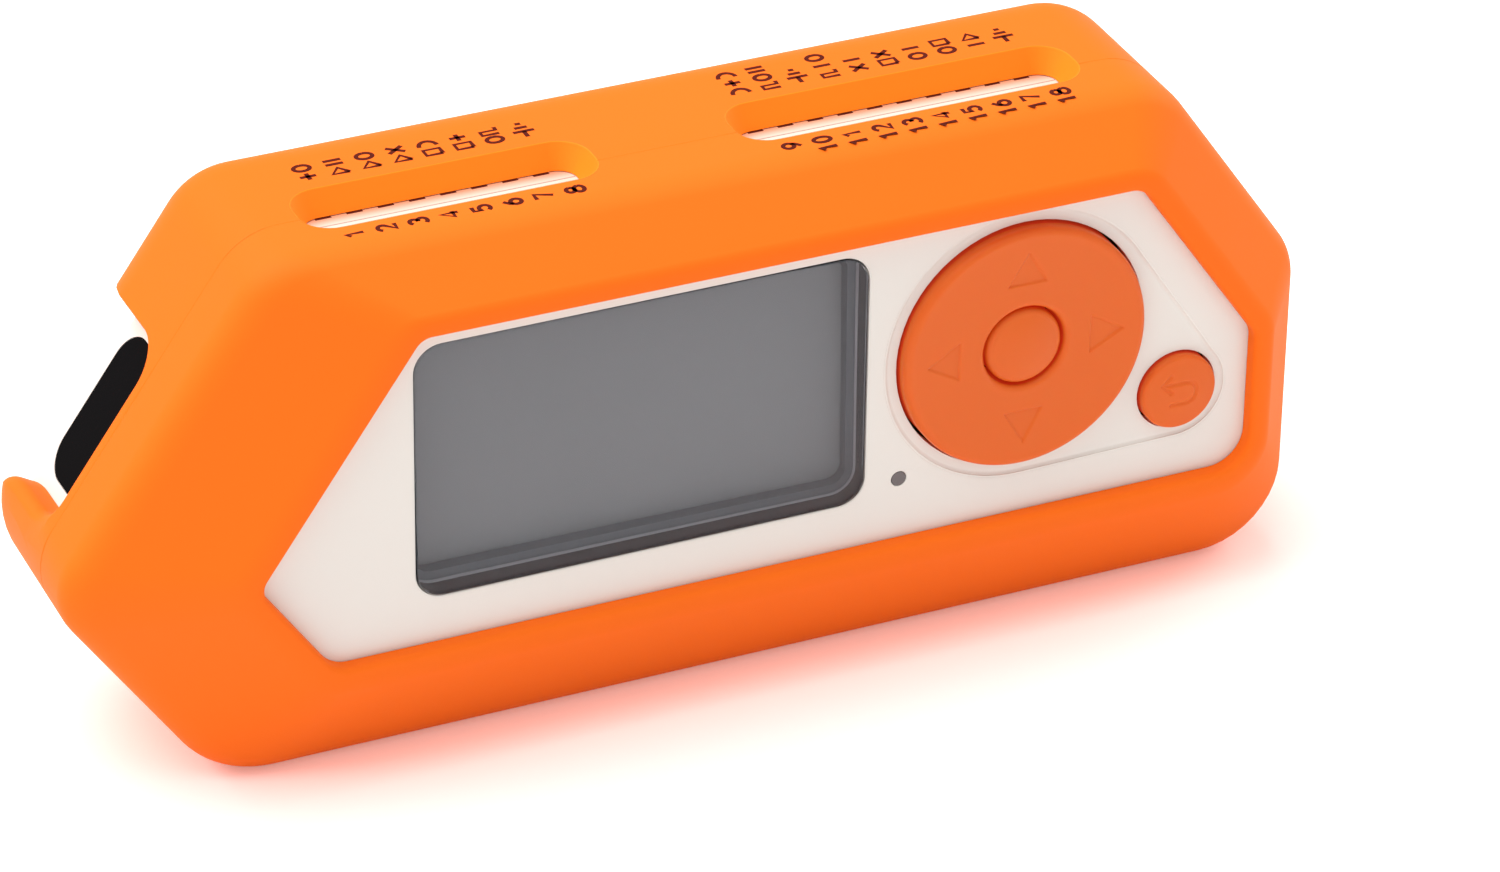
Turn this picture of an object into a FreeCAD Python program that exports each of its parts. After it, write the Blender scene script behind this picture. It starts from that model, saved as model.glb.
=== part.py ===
import FreeCAD, Part
import math
import os

V = FreeCAD.Vector

# Pocket tester in a silicone sleeve, in millimetres.
# It is drawn about the centre of the ring key, with the white face at y = 0, +x to the right,
# +y into the casing and +z up, and set down at the end with its underside at z = 0.

# Casing outline, seen from the front, before its corners are rounded
face_left = 24.48
face_right = 24.1
face_above = 5.02
face_below = 12.98
body_depth = 25.6
tip_drop = 8.1
shoulder_drop = 0.1
slant = 35.0
corner_radii = [3.0, 4.0, 4.0, 3.0, 6.0, 5.0]
full_side = 0.95

# Casing in depth
front_bevel_depth = 4.9
back_bevel_depth = 5.0
back_bevel_inset = 5.0
shell_wall = 1.6
room_face_inset = 0.32
room_crease_shift = 0.48
seam_depth = 11.5

# Sleeve
sleeve_wall = 2.1
sleeve_walls = [2.1, 2.1, 2.1, 3.0, 2.5, 2.1]
sleeve_tip_ease = 2.5
sleeve_fit = 0.1
lip_height = 1.4
lip_width = 1.5
lip_cover = 1.2
lip_edge = 0.5
window_margins = [4.0, 4.9, 3.7, 8.7, 10.3, 9.1]
window_radii = [2.0, 2.0, 1.5, 1.5, 2.5, 3.0]
sleeve_front_bevel = 4.0
sleeve_wall_end = 21.3
sleeve_back_inset = 6.5
crease_reach = [0.9, 1.8, 2.5, 2.0]
crease_steps = 3

# Header slots and sockets
pin_pitch = 2.54
left_pins = 8
right_pins = 10
first_pin = -52.9
row_gap = 17.94
header_depth = 10.4
header_length = 8.5
header_clearance = 0.05
pin_hole = 1.0
socket_hole = 0.9
contact_size = 0.64
contact_reach = 4.0
slot_margin = 2.1
slot_shift = 0.2
slot_width = 4.2
slot_flare = 1.1
slot_radius = 1.5
slot_depth = 10.7

# Infrared notch and window on the upper left slant, along the slant
notch_low = -47.2
notch_high = -31.5
notch_front = 11.0
notch_under = 1.0
notch_radius = 3.0
ir_window_low = -46.0
ir_window_high = -33.1
ir_window_front = 13.0
ir_window_back = 20.1
ir_window_radius = 2.6
ir_flange = 0.4
ir_flange_wall = 0.6
ir_board_wall = 1.0
ir_led_length = 3.0
ir_led_radius = 1.5
ir_led_pitch = 3.2
ir_led_margin = 0.3
ir_receiver_width = 2.6
ir_receiver_depth = 4.4
ir_receiver_wall = 1.5

# Screen
screen_width = 37.6
screen_height = 22.1
screen_from_pad = 2.52
screen_drop = 0.17
screen_radius = 2.3
screen_proud = 0.15
screen_fit = 0.12
screen_flange = 1.2
screen_flange_wall = 0.6
gasket_wall = 1.1
gasket_lap = 1.0
lcd_wall = 1.8
lcd_margin_x = 1.0
lcd_margin_z = 1.4
lcd_fit = 0.15
holder_rim = 0.7
holder_lap = 2.5
flex_width = 14.0
flex_wall = 0.3

# Keys
pad_hole = 10.7
pad_fit = 0.25
pad_proud = 1.0
pad_rim = 0.7
pad_dish = 0.3
pad_flange = 0.85
pad_flange_wall = 0.55
pad_flange_gap = 0.6
pad_tilt = 2.0
pad_switch_radius = 7.6
ok_radius = 3.25
ok_proud = 0.05
ok_dome = 0.35
ok_flange = 0.5
ok_flange_wall = 0.3
ok_flange_gap = 0.25
back_key_x = 13.96
back_key_z = -7.31
back_key_hole = 3.45
back_key_fit = 0.2
back_key_proud = 0.8
back_key_dome = 0.25
back_key_flange = 0.6
back_key_flange_wall = 0.6
key_travel = 0.3
key_gap = 0.08
recess_depth = 0.2
pad_recess_margin = 1.0
back_recess_margin = 0.7
cushion_width = 1.0
cushion_gap = 0.35

# Switches and boards
switch_size = 3.4
switch_wall = 1.0
plunger_radius = 0.9
plunger_proud = 0.6
plunger_fit = 0.06
key_board_wall = 0.8
main_board_wall = 1.2
board_inset = 2.4
board_radius = 1.0
key_board_left = -11.3
main_board_left = -57.0
board_fit = 0.3
connector_x = 4.0
connector_z = 0.0
connector_length = 10.0
connector_width = 3.0
led_inset = 0.4
led_drop = 9.85
led_radius = 0.6
led_fit = 0.06
led_chip = 1.2
led_chip_wall = 0.5
led_gap = 0.1
led_flange = 0.3

# Sockets in the underside
usb_x = -6.0
usb_length = 7.35
usb_width = 8.94
usb_depth = 3.26
usb_wall = 0.3
usb_end_share = 0.45
usb_tongue_width = 6.7
usb_tongue_wall = 0.7
usb_tongue_length = 5.2
usb_setback = 0.4
usb_fit = 0.25
usb_plug_width = 13.4
usb_plug_depth = 7.2
card_x = -27.0
card_socket_width = 14.0
card_socket_length = 14.6
card_socket_wall = 1.5
card_slot_width = 11.6
card_slot_height = 0.9
card_slot_wall = 0.3
card_setback = 0.3
card_cut_width = 15.4
card_cut_depth = 5.2
cut_radius = 2.4

# Parts on the back of the main board and in the back cover
processor_size = 7.0
processor_wall = 0.9
processor_x = -22.0
processor_z = 1.0
shield_length = 14.0
shield_width = 11.0
shield_wall = 2.0
shield_x = -42.0
shield_z = -2.5
buzzer_radius = 6.0
buzzer_height = 4.2
buzzer_port = 1.0
buzzer_x = 13.0
buzzer_z = -11.9
motor_radius = 5.0
motor_height = 2.8
motor_gap = 2.0
motor_z = -1.2
battery_length = 44.0
battery_height = 26.0
battery_wall = 9.0
battery_radius = 2.5
battery_x = -28.0
battery_z = -1.5
battery_pad_wall = 1.0
battery_pad_margin = 4.0
battery_tab_width = 6.0
battery_tab_wall = 0.3
battery_connector_length = 4.0
battery_connector_wall = 1.6

# Screws, from the back, and their bosses
screw_places = [(-59.0, -2.0), (-46.0, -18.8), (6.5, -18.6), (17.6, 2.4)]
screw_radius = 1.0
screw_head_radius = 1.8
screw_head_height = 1.4
screw_recess = 0.5
screw_grip = 3.4
screw_bite = 3.0
screw_fit = 0.08
boss_wall = 1.1

# Values worked out from those above
side_angles = [0.0, slant, 90.0, 180.0 - slant, 180.0 + slant, 270.0]
right, upper_right, top, upper_left, lower_left, bottom = range(len(side_angles))
cos_slant = math.cos(math.radians(slant))
sin_slant = math.sin(math.radians(slant))
screen_centre_x = -pad_hole - screen_from_pad - screen_width / 2
screen_centre_z = -screen_drop
tip_reach = face_left + screen_width / 2 - screen_centre_x
outline = [
    face_right,
    cos_slant * face_right - sin_slant * shoulder_drop,
    face_above + screen_height / 2 + screen_centre_z,
    cos_slant * tip_reach - sin_slant * tip_drop,
    cos_slant * tip_reach + sin_slant * tip_drop,
    face_below + screen_height / 2 - screen_centre_z,
]
window = [side - margin for side, margin in zip(outline, window_margins)]
eased_radii = list(corner_radii)
eased_radii[upper_left] += sleeve_tip_ease
body_top = outline[top]
body_under = -outline[bottom]
body_reach = tip_reach + face_right
led_x, led_z = led_inset - pad_hole, -led_drop
sleeve_back = body_depth + sleeve_wall
body_wall_end = body_depth - back_bevel_depth

main_back = header_depth - pin_pitch / 2
main_front = main_back - main_board_wall
lens_back = shell_wall + screen_flange_wall
gasket_back = lens_back + gasket_wall
lcd_back = gasket_back + lcd_wall
pad_radius = pad_hole - pad_fit
pad_flange_radius = pad_hole + pad_flange - pad_fit
pad_flange_top = shell_wall + pad_flange_gap
pad_back = pad_flange_top + pad_flange_wall
ok_hole = ok_radius + pad_fit
ok_flange_top = pad_back + ok_flange_gap
ok_back = ok_flange_top + ok_flange_wall
plunger_top = ok_back
switch_top = plunger_top + plunger_proud
key_board_front = switch_top + switch_wall
key_board_back = key_board_front + key_board_wall
battery_back = body_depth - shell_wall - battery_pad_wall
battery_front = battery_back - battery_wall
battery_end = battery_x + battery_length / 2
socket_left = battery_end + battery_connector_length / 2
socket_back = main_back + battery_connector_wall
motor_x = socket_left + battery_connector_length + motor_gap + motor_radius
pad_switches = [(pad_switch_radius * math.cos(a), pad_switch_radius * math.sin(a))
                for a in (0.0, math.pi / 2, math.pi, 3 * math.pi / 2)]
switch_places = pad_switches + [(0.0, 0.0), (back_key_x, back_key_z)]
left_row = [first_pin + pin_pitch * i for i in range(left_pins)]
right_row = [left_row[-1] + row_gap + pin_pitch * i for i in range(right_pins)]


# Shape helpers
def grown(offsets, amount):
    return [offset + amount for offset in offsets]


def front_point(x, z):
    return V(x, 0, z)


def slant_point(along, y):
    return V(sin_slant * along, y, cos_slant * along)


def slant_out(distance):
    return V(-cos_slant * distance, 0, sin_slant * distance)


def meet(angle_a, offset_a, angle_b, offset_b):
    ca, sa = math.cos(math.radians(angle_a)), math.sin(math.radians(angle_a))
    cb, sb = math.cos(math.radians(angle_b)), math.sin(math.radians(angle_b))
    span = ca * sb - sa * cb
    return ((offset_a * sb - offset_b * sa) / span, (offset_b * ca - offset_a * cb) / span)


def side_pair(i):
    j = (i + 1) % len(side_angles)
    return side_angles[i], (side_angles[j] if j else 360.0), j


def fitted_radii(offsets, radii):
    """Corner radii, drawn in where two arcs would share more than a whole side."""
    corners, reach = [], []
    for i, radius in enumerate(radii):
        start, end, j = side_pair(i)
        corners.append(meet(start, offsets[i], end, offsets[j]))
        reach.append(radius * math.tan(math.radians(end - start) / 2))
    spare = []
    for i, (here, before) in enumerate(zip(corners, corners[-1:] + corners[:-1])):
        spare.append(math.dist(here, before) / (reach[i] + reach[i - 1]))
    return [radius * min(1.0, full_side * spare[i], full_side * spare[(i + 1) % len(spare)])
            for i, radius in enumerate(radii)]


def ring(y, offsets, radii):
    """Closed outline at depth y: six straight sides joined by six arcs."""
    arcs = []
    for i, radius in enumerate(fitted_radii(offsets, radii)):
        start, end, j = side_pair(i)
        x, z = meet(start, offsets[i] - radius, end, offsets[j] - radius)
        turn = [math.radians(a) for a in (start, (start + end) / 2, end)]
        arcs.append([V(x + radius * math.cos(a), y, z + radius * math.sin(a)) for a in turn])
    edges = []
    for i, arc in enumerate(arcs):
        edges.append(Part.Arc(*arc).toShape())
        edges.append(Part.LineSegment(arc[2], arcs[(i + 1) % len(arcs)][0]).toShape())
    return Part.Wire(edges)


def loft(stations):
    return Part.makeLoft([ring(*station) for station in stations], True, True)


def blend(start, end, share):
    y = start[0] + (end[0] - start[0]) * share
    offsets = [a + (b - a) * share for a, b in zip(start[1], end[1])]
    radii = [a + (b - a) * share for a, b in zip(start[2], end[2])]
    return (y, offsets, radii)


def station_gap(start, end):
    steps = [abs(b - a) for a, b in zip(start[1], end[1])]
    return math.hypot(end[0] - start[0], sum(steps) / len(steps))


def eased(stations, reaches):
    """Stations of a loft whose inner stations are rounded creases."""
    rounded = []
    for before, crease, after, reach in zip(stations, stations[1:], stations[2:], reaches):
        near = blend(crease, before, reach / station_gap(crease, before))
        far = blend(crease, after, reach / station_gap(crease, after))
        for i in range(crease_steps + 1):
            share = i / crease_steps
            rounded.append(blend(blend(near, crease, share), blend(crease, far, share), share))
    return rounded


def box(x0, x1, y0, y1, z0, z1):
    return Part.makeBox(x1 - x0, y1 - y0, z1 - z0, V(x0, y0, z0))


def block(x, z, width, height, y0, y1):
    return box(x - width / 2, x + width / 2, y0, y1, z - height / 2, z + height / 2)


def disc(x, z, radius, y0, y1):
    return Part.makeCylinder(radius, y1 - y0, V(x, y0, z), V(0, 1, 0))


def rounded_face(point, a0, a1, b0, b1, radius):
    """Rectangle with rounded corners; point turns the two plane measures into a place."""
    bulge = radius * (1 - math.sqrt(0.5))
    corners = [((a1, b0 + radius), (a1 - bulge, b0 + bulge), (a1 - radius, b0)),
               ((a0 + radius, b0), (a0 + bulge, b0 + bulge), (a0, b0 + radius)),
               ((a0, b1 - radius), (a0 + bulge, b1 - bulge), (a0 + radius, b1)),
               ((a1 - radius, b1), (a1 - bulge, b1 - bulge), (a1, b1 - radius))]
    places = [[point(*place) for place in corner] for corner in corners]
    edges = []
    for i, corner in enumerate(places):
        edges.append(Part.Arc(*corner).toShape())
        edges.append(Part.LineSegment(corner[2], places[(i + 1) % 4][0]).toShape())
    return Part.Face(Part.Wire(edges))


def rounded_block(x, z, width, height, radius, y0, y1):
    face = rounded_face(front_point, x - width / 2, x + width / 2, z - height / 2, z + height / 2, radius)
    face.translate(V(0, y0, 0))
    return face.extrude(V(0, y1 - y0, 0))


def turned(x, z, edges):
    """Solid of revolution about the y line through (x, z); edges run in (radius, y)."""
    shape = Part.Face(Part.Wire(edges)).revolve(V(0, 0, 0), V(0, 1, 0), 360)
    shape.translate(V(x, 0, z))
    return shape


def line(start, end):
    return Part.LineSegment(V(start[0], start[1], 0), V(end[0], end[1], 0)).toShape()


def bow(start, middle, end):
    return Part.Arc(*[V(r, y, 0) for r, y in (start, middle, end)]).toShape()


def chain(points):
    return [line(a, b) for a, b in zip(points, points[1:])]


def gathered(shapes):
    return Part.makeCompound(shapes)


def merged(shapes):
    return shapes[0].multiFuse(shapes[1:]).removeSplitter()


# Casing solids that the covers, the sleeve and the boards are taken from
def casing_stations(grow, front, back, face_grow, crease_shift):
    return [(front, grown(window, lip_cover + face_grow), grown(window_radii, lip_cover)),
            (front_bevel_depth + crease_shift, grown(outline, grow), grown(corner_radii, grow)),
            (body_wall_end, grown(outline, grow), grown(corner_radii, grow)),
            (back, grown(outline, grow - back_bevel_inset), [radius / 2 for radius in grown(corner_radii, grow)])]


def casing():
    return loft(casing_stations(0, 0, body_depth, 0, 0))


def casing_room():
    return loft(casing_stations(-shell_wall, shell_wall, body_depth - shell_wall, -room_face_inset,
                                room_crease_shift))


def half(front):
    far = body_reach
    if front:
        return box(-far, far, -far, seam_depth, -far, far)
    return box(-far, far, seam_depth, far, -far, far)


def pin_holes(size, z0, z1):
    return [block(x, (z0 + z1) / 2, size, z1 - z0, header_depth - size / 2, header_depth + size / 2)
            for x in left_row + right_row]


def under_cut(x, y, width, depth, radius, z0, z1):
    face = rounded_face(lambda a, b: V(a, b, z0), x - width / 2, x + width / 2, y - depth / 2, y + depth / 2,
                        radius)
    return face.extrude(V(0, 0, z1 - z0))


def usb_hole(z0, z1):
    depth = usb_depth + 2 * usb_fit
    return under_cut(usb_x, main_back + usb_depth / 2, usb_width + 2 * usb_fit, depth, depth * usb_end_share, z0, z1)


def card_hole(z0, z1):
    middle = main_back + card_slot_wall + card_slot_height / 2
    return under_cut(card_x, middle, card_slot_width + 2 * usb_fit, card_slot_height + usb_fit,
                     card_slot_height / 3, z0, z1)


def ir_slab(margin, n0, n1):
    face = rounded_face(slant_point, ir_window_low - margin, ir_window_high + margin, ir_window_front - margin,
                        ir_window_back + margin, ir_window_radius + margin)
    face.translate(slant_out(n0))
    return face.extrude(slant_out(n1 - n0))


def teardrop(y0, y1):
    """Shallow recess round the ring key and the back key: two circles and their outer tangents."""
    r0, r1 = pad_hole + pad_recess_margin, back_key_hole + back_recess_margin
    span = math.hypot(back_key_x, back_key_z)
    aim = math.atan2(back_key_z, back_key_x)
    lean = math.acos((r0 - r1) / span)

    def place(x, z, radius, angle):
        return V(x + radius * math.cos(angle), y0, z + radius * math.sin(angle))
    a0, a1 = place(0, 0, r0, aim + lean), place(0, 0, r0, aim - lean)
    b0, b1 = (place(back_key_x, back_key_z, r1, aim + turn) for turn in (lean, -lean))
    edges = [Part.Arc(a0, place(0, 0, r0, aim + math.pi), a1).toShape(), Part.LineSegment(a1, b1).toShape(),
             Part.Arc(b1, place(back_key_x, back_key_z, r1, aim), b0).toShape(), Part.LineSegment(b0, a0).toShape()]
    return Part.Face(Part.Wire(edges)).extrude(V(0, y1 - y0, 0))


# Sleeve
def slot_cutter(row):
    """Header slot with walls that open outwards."""
    wires = []
    for height in (-slot_flare, sleeve_wall + slot_flare):
        open_by = slot_flare * height / sleeve_wall
        face = rounded_face(lambda a, b: V(a, b, body_top + height),
                            row[0] + slot_shift - slot_margin - open_by, row[-1] + slot_shift + slot_margin + open_by,
                            slot_depth - slot_width / 2 - open_by, slot_depth + slot_width / 2 + open_by,
                            slot_radius + open_by)
        wires.append(face.OuterWire)
    return Part.makeLoft(wires, True, True)


def silicone_sleeve():
    wide = [side + wall for side, wall in zip(outline, sleeve_walls)]
    radii, back_radii = grown(corner_radii, sleeve_wall), grown(eased_radii, sleeve_wall)
    lip_radii = grown(window_radii, lip_width)
    back_plane = grown(wide, -sleeve_back_inset)
    flat_radii = [radius / 2 for radius in back_radii]
    outer = loft(eased([(-lip_height, window, window_radii),
                        (-lip_height, grown(window, lip_width), lip_radii),
                        (sleeve_front_bevel, wide, radii),
                        (sleeve_wall_end, wide, back_radii),
                        (sleeve_back, back_plane, flat_radii),
                        (sleeve_back, grown(back_plane, -sleeve_back_inset), flat_radii)], crease_reach))
    room = loft(casing_stations(sleeve_fit, -sleeve_fit, body_depth + sleeve_fit, sleeve_fit, 0))
    opening = loft([(lip_height, window, window_radii), (lip_edge - lip_height, window, window_radii),
                    (-lip_height - lip_edge, grown(window, 2 * lip_edge), grown(window_radii, 2 * lip_edge))])
    notch = rounded_face(slant_point, notch_low, notch_high, notch_front, sleeve_back + notch_radius, notch_radius)
    notch.translate(slant_out(outline[upper_left] - back_bevel_inset - notch_under))
    notch = notch.extrude(slant_out(back_bevel_inset + notch_under + 2 * sleeve_back_inset))
    z0, z1 = body_under - 2 * sleeve_wall, body_under + shell_wall
    usb = under_cut(usb_x, main_back + usb_depth / 2, usb_plug_width, usb_plug_depth, cut_radius, z0, z1)
    card = under_cut(card_x, main_back + card_slot_wall + card_slot_height / 2, card_cut_width, card_cut_depth,
                     cut_radius, z0, z1)
    cuts = [room, opening, slot_cutter(left_row), slot_cutter(right_row), notch, usb, card]
    return outer.cut(cuts)


# White covers
def bosses(radius, y0, y1):
    return [disc(x, z, radius, y0, y1) for x, z in screw_places]


def front_cover():
    whole = casing()
    shell = whole.common(half(True)).cut(casing_room())
    posts = [post.common(whole) for post in bosses(screw_radius + boss_wall, 0, main_front)]
    shell = merged([shell] + posts)
    z0, z1 = body_under - shell_wall, body_under + 2 * shell_wall
    cuts = [teardrop(-shell_wall, recess_depth), disc(0, 0, pad_hole, -shell_wall, pad_flange_top)]
    cuts.append(disc(back_key_x, back_key_z, back_key_hole, -shell_wall, pad_flange_top))
    cuts.append(disc(led_x, led_z, led_radius + led_fit, -shell_wall, lens_back))
    cuts.append(rounded_block(screen_centre_x, screen_centre_z, screen_width, screen_height, screen_radius,
                              -shell_wall, lens_back))
    cuts += bosses(screw_radius + screw_fit, main_front - screw_bite, main_front)
    cuts += pin_holes(pin_hole, body_top - 2 * shell_wall, body_top + shell_wall)
    cuts += [usb_hole(z0, z1), card_hole(z0, z1)]
    return shell.cut(cuts)


def back_cover():
    whole = casing()
    shell = whole.common(half(False)).cut(casing_room())
    well = screw_head_radius + 2 * screw_fit
    posts = [post.common(whole) for post in bosses(well + boss_wall, seam_depth, body_depth)]
    inside = casing_room()
    posts += [post.common(inside) for post in bosses(screw_radius + boss_wall, main_back, seam_depth)]
    shell = merged([shell] + posts)
    seat = main_back + screw_grip
    cuts = bosses(screw_radius + screw_fit, main_back, body_depth)
    cuts += bosses(well, seat, body_depth)
    cuts.append(ir_slab(screw_fit, outline[upper_left] - 2 * shell_wall, outline[upper_left] + shell_wall))
    cuts.append(usb_hole(body_under - shell_wall, body_under + 2 * shell_wall))
    return shell.cut(cuts)


def case_screws():
    screws = []
    for x, z in screw_places:
        seat = main_back + screw_grip
        shank = disc(x, z, screw_radius, main_front - screw_bite + screw_recess, seat)
        head = disc(x, z, screw_head_radius, seat, seat + screw_head_height)
        socket = block(x, z, screw_radius, screw_radius, seat + screw_recess, seat + screw_head_height)
        screws.append(shank.fuse(head).removeSplitter().cut(socket))
    return gathered(screws)


# Screen
def screen_window():
    front = rounded_block(screen_centre_x, screen_centre_z, screen_width - 2 * screen_fit,
                          screen_height - 2 * screen_fit, screen_radius - screen_fit, -screen_proud, shell_wall)
    rim = [edge for edge in front.Edges if abs(edge.BoundBox.YMax + screen_proud) < screen_fit / 10]
    front = front.makeFillet(2 * screen_proud, rim)
    flange = rounded_block(screen_centre_x, screen_centre_z, screen_width + 2 * screen_flange,
                           screen_height + 2 * screen_flange, screen_radius + screen_flange, shell_wall, lens_back)
    return merged([front, flange])


def screen_gasket():
    outer = rounded_block(screen_centre_x, screen_centre_z, screen_width + 2 * screen_flange,
                          screen_height + 2 * screen_flange, screen_radius, lens_back, gasket_back)
    hole = rounded_block(screen_centre_x, screen_centre_z, screen_width - 2 * gasket_lap,
                         screen_height - 2 * gasket_lap, screen_radius - gasket_lap, lens_back, gasket_back)
    return outer.cut(hole)


lcd_width = screen_width + 2 * lcd_margin_x
lcd_height = screen_height + 2 * lcd_margin_z


def lcd_panel():
    return block(screen_centre_x, screen_centre_z, lcd_width, lcd_height, gasket_back, lcd_back)


def lcd_holder():
    width, height = (size + 2 * lcd_fit for size in (lcd_width, lcd_height))
    outer = block(screen_centre_x, screen_centre_z, width + 2 * holder_rim, height + 2 * holder_rim,
                  gasket_back + lcd_wall / 2, main_front)
    tray = block(screen_centre_x, screen_centre_z, width, height, gasket_back, lcd_back)
    middle = block(screen_centre_x, screen_centre_z, width - 2 * holder_lap, height - 2 * holder_lap, lcd_back,
                   main_front)
    gate = box(screen_centre_x - flex_width / 2 - lcd_fit, screen_centre_x + flex_width / 2 + lcd_fit, gasket_back,
               main_front, screen_centre_z - height, screen_centre_z - lcd_height / 2 + holder_lap)
    return outer.cut([tray, middle, gate])


def lcd_flex():
    foot = screen_centre_z - lcd_height / 2
    x0, x1 = screen_centre_x - flex_width / 2, screen_centre_x + flex_width / 2
    drop = box(x0, x1, lcd_back - lcd_wall / 2, main_front, foot - flex_wall, foot)
    tail = box(x0, x1, main_front - flex_wall, main_front, foot - flex_wall, foot + holder_lap)
    return merged([drop, tail])


# Keys
def dpad_ring():
    """Ring key: a dished face with a rolled rim, a flange behind the face and four stems."""
    rim = pad_rim * (1 - math.sqrt(0.5))
    crown, hollow = -pad_proud, pad_dish - pad_proud
    profile = chain([(pad_radius, pad_rim - pad_proud), (pad_radius, pad_flange_top),
                     (pad_flange_radius, pad_flange_top), (pad_flange_radius, pad_back), (ok_hole, pad_back),
                     (ok_hole, hollow + pad_dish), (ok_hole + pad_rim, hollow), (pad_radius - pad_rim, crown)])
    profile.append(bow((pad_radius - pad_rim, crown), (pad_radius - rim, crown + rim),
                       (pad_radius, pad_rim - pad_proud)))
    sink = pad_switch_radius * math.sin(math.radians(pad_tilt))
    stems = [disc(x, z, plunger_radius, pad_flange_top, plunger_top - sink - key_gap) for x, z in pad_switches]
    return merged([turned(0, 0, profile)] + stems)


def dpad_cushion():
    inner = ok_hole + ok_flange + cushion_gap
    outer = inner + cushion_width
    y0, y1 = pad_back + cushion_gap, key_board_front - cushion_gap
    return disc(0, 0, outer, y0, y1).cut(disc(0, 0, inner, y0, y1))


def button(x, z, radius, proud, dome, flange_radius, flange_top, flange_wall):
    """Round key with a domed face and a flange that keeps it behind its opening."""
    flange_back = flange_top + flange_wall
    profile = chain([(0, -proud), (0, plunger_top), (plunger_radius, plunger_top), (plunger_radius, flange_back),
                     (flange_radius, flange_back), (flange_radius, flange_top), (radius, flange_top),
                     (radius, dome - proud)])
    side = radius - dome
    profile.append(bow((radius, dome - proud), (side + dome * math.sqrt(0.5), dome * (1 - math.sqrt(0.5)) - proud),
                       (side, -proud)))
    profile.append(line((side, -proud), (0, -proud)))
    return turned(x, z, profile)


def ok_key():
    return button(0, 0, ok_radius, pad_proud + ok_proud, ok_dome, ok_hole + ok_flange, ok_flange_top,
                  ok_flange_wall - key_gap)


def back_key():
    return button(back_key_x, back_key_z, back_key_hole - back_key_fit, back_key_proud, back_key_dome,
                  back_key_hole + back_key_flange - back_key_fit, pad_flange_top, back_key_flange_wall)


# Switches, boards and what stands on them
def key_switches():
    bodies = []
    for x, z in switch_places:
        well = disc(x, z, plunger_radius + plunger_fit, switch_top, key_board_front - plunger_fit)
        bodies.append(block(x, z, switch_size, switch_size, switch_top, key_board_front).cut(well))
    return gathered(bodies)


def plunger(x, z):
    return disc(x, z, plunger_radius, plunger_top, switch_top + key_travel)


def board_blank(left, y0, y1):
    face = Part.Face(ring(y0, grown(outline, -board_inset), [board_radius] * len(outline)))
    blank = face.extrude(V(0, y1 - y0, 0))
    far = body_reach
    return blank.cut(box(-far, left, y0, y1, -far, far))


def key_board():
    """Switch board: drawn in from the front bevel and cleared round the casing's posts."""
    lift = front_bevel_depth - key_board_front + board_inset
    face = Part.Face(ring(key_board_front, grown(outline, -board_inset - lift), [board_radius] * len(outline)))
    far = body_reach
    blank = face.extrude(V(0, key_board_wall, 0)).cut(box(-far, key_board_left, 0, body_depth, -far, far))
    return blank.cut(bosses(screw_radius + boss_wall + board_fit, 0, body_depth))


def board_connector():
    return block(connector_x, connector_z, connector_length, connector_width, key_board_back, main_front)


def main_board():
    return board_blank(main_board_left, main_front, main_back).cut(
        bosses(screw_radius + screw_fit, main_front, main_back))


def led_light_guide():
    foot = key_board_front - led_chip_wall - led_gap
    return merged([disc(led_x, led_z, led_radius, 0, foot),
                   disc(led_x, led_z, led_radius + led_flange, shell_wall, shell_wall + screen_flange_wall)])


def status_led():
    return block(led_x, led_z, led_chip, led_chip, key_board_front - led_chip_wall, key_board_front)


socket_top = body_top - shell_wall - header_clearance
socket_under = socket_top - header_length


def header_socket(row):
    x0, x1 = row[0] - pin_pitch / 2, row[-1] + pin_pitch / 2
    body = box(x0, x1, main_back, main_back + pin_pitch, socket_under, socket_top)
    return body.cut(pin_holes(socket_hole, socket_under, socket_top))


def header_contacts():
    contacts = []
    h = contact_size / 2
    for x in left_row + right_row:
        stem = box(x - h, x + h, header_depth - h, header_depth + h, socket_under - contact_size,
                   socket_under + contact_reach)
        foot = box(x - h, x + h, main_back, header_depth + h, socket_under - 2 * contact_size,
                   socket_under - contact_size)
        contacts.append(merged([stem, foot]))
    return gathered(contacts)


def usb_outline(inset, z0, z1):
    depth = usb_depth - 2 * inset
    return under_cut(usb_x, main_back + usb_depth / 2, usb_width - 2 * inset, depth, depth * usb_end_share, z0, z1)


def usb_socket():
    z0 = body_under + usb_setback
    return usb_outline(0, z0, z0 + usb_length).cut(usb_outline(usb_wall, z0, z0 + usb_length - usb_wall))


def usb_tongue():
    back = body_under + usb_setback + usb_length - usb_wall
    middle = main_back + usb_depth / 2
    return box(usb_x - usb_tongue_width / 2, usb_x + usb_tongue_width / 2, middle - usb_tongue_wall / 2,
               middle + usb_tongue_wall / 2, back - usb_tongue_length, back)


def card_socket():
    z0 = body_under + shell_wall + card_setback
    body = box(card_x - card_socket_width / 2, card_x + card_socket_width / 2, main_back,
               main_back + card_socket_wall, z0, z0 + card_socket_length)
    mouth = main_back + card_slot_wall
    slot = box(card_x - card_slot_width / 2, card_x + card_slot_width / 2, mouth, mouth + card_slot_height, z0,
               z0 + card_socket_length - card_slot_wall)
    return body.cut(slot)


def processor():
    return block(processor_x, processor_z, processor_size, processor_size, main_back, main_back + processor_wall)


def radio_shield():
    lid = block(shield_x, shield_z, shield_length, shield_width, main_back, main_back + shield_wall)
    corners = [edge for edge in lid.Edges if edge.BoundBox.YLength > shield_wall / 2]
    return lid.makeFillet(shield_wall / 3, corners)


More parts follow.
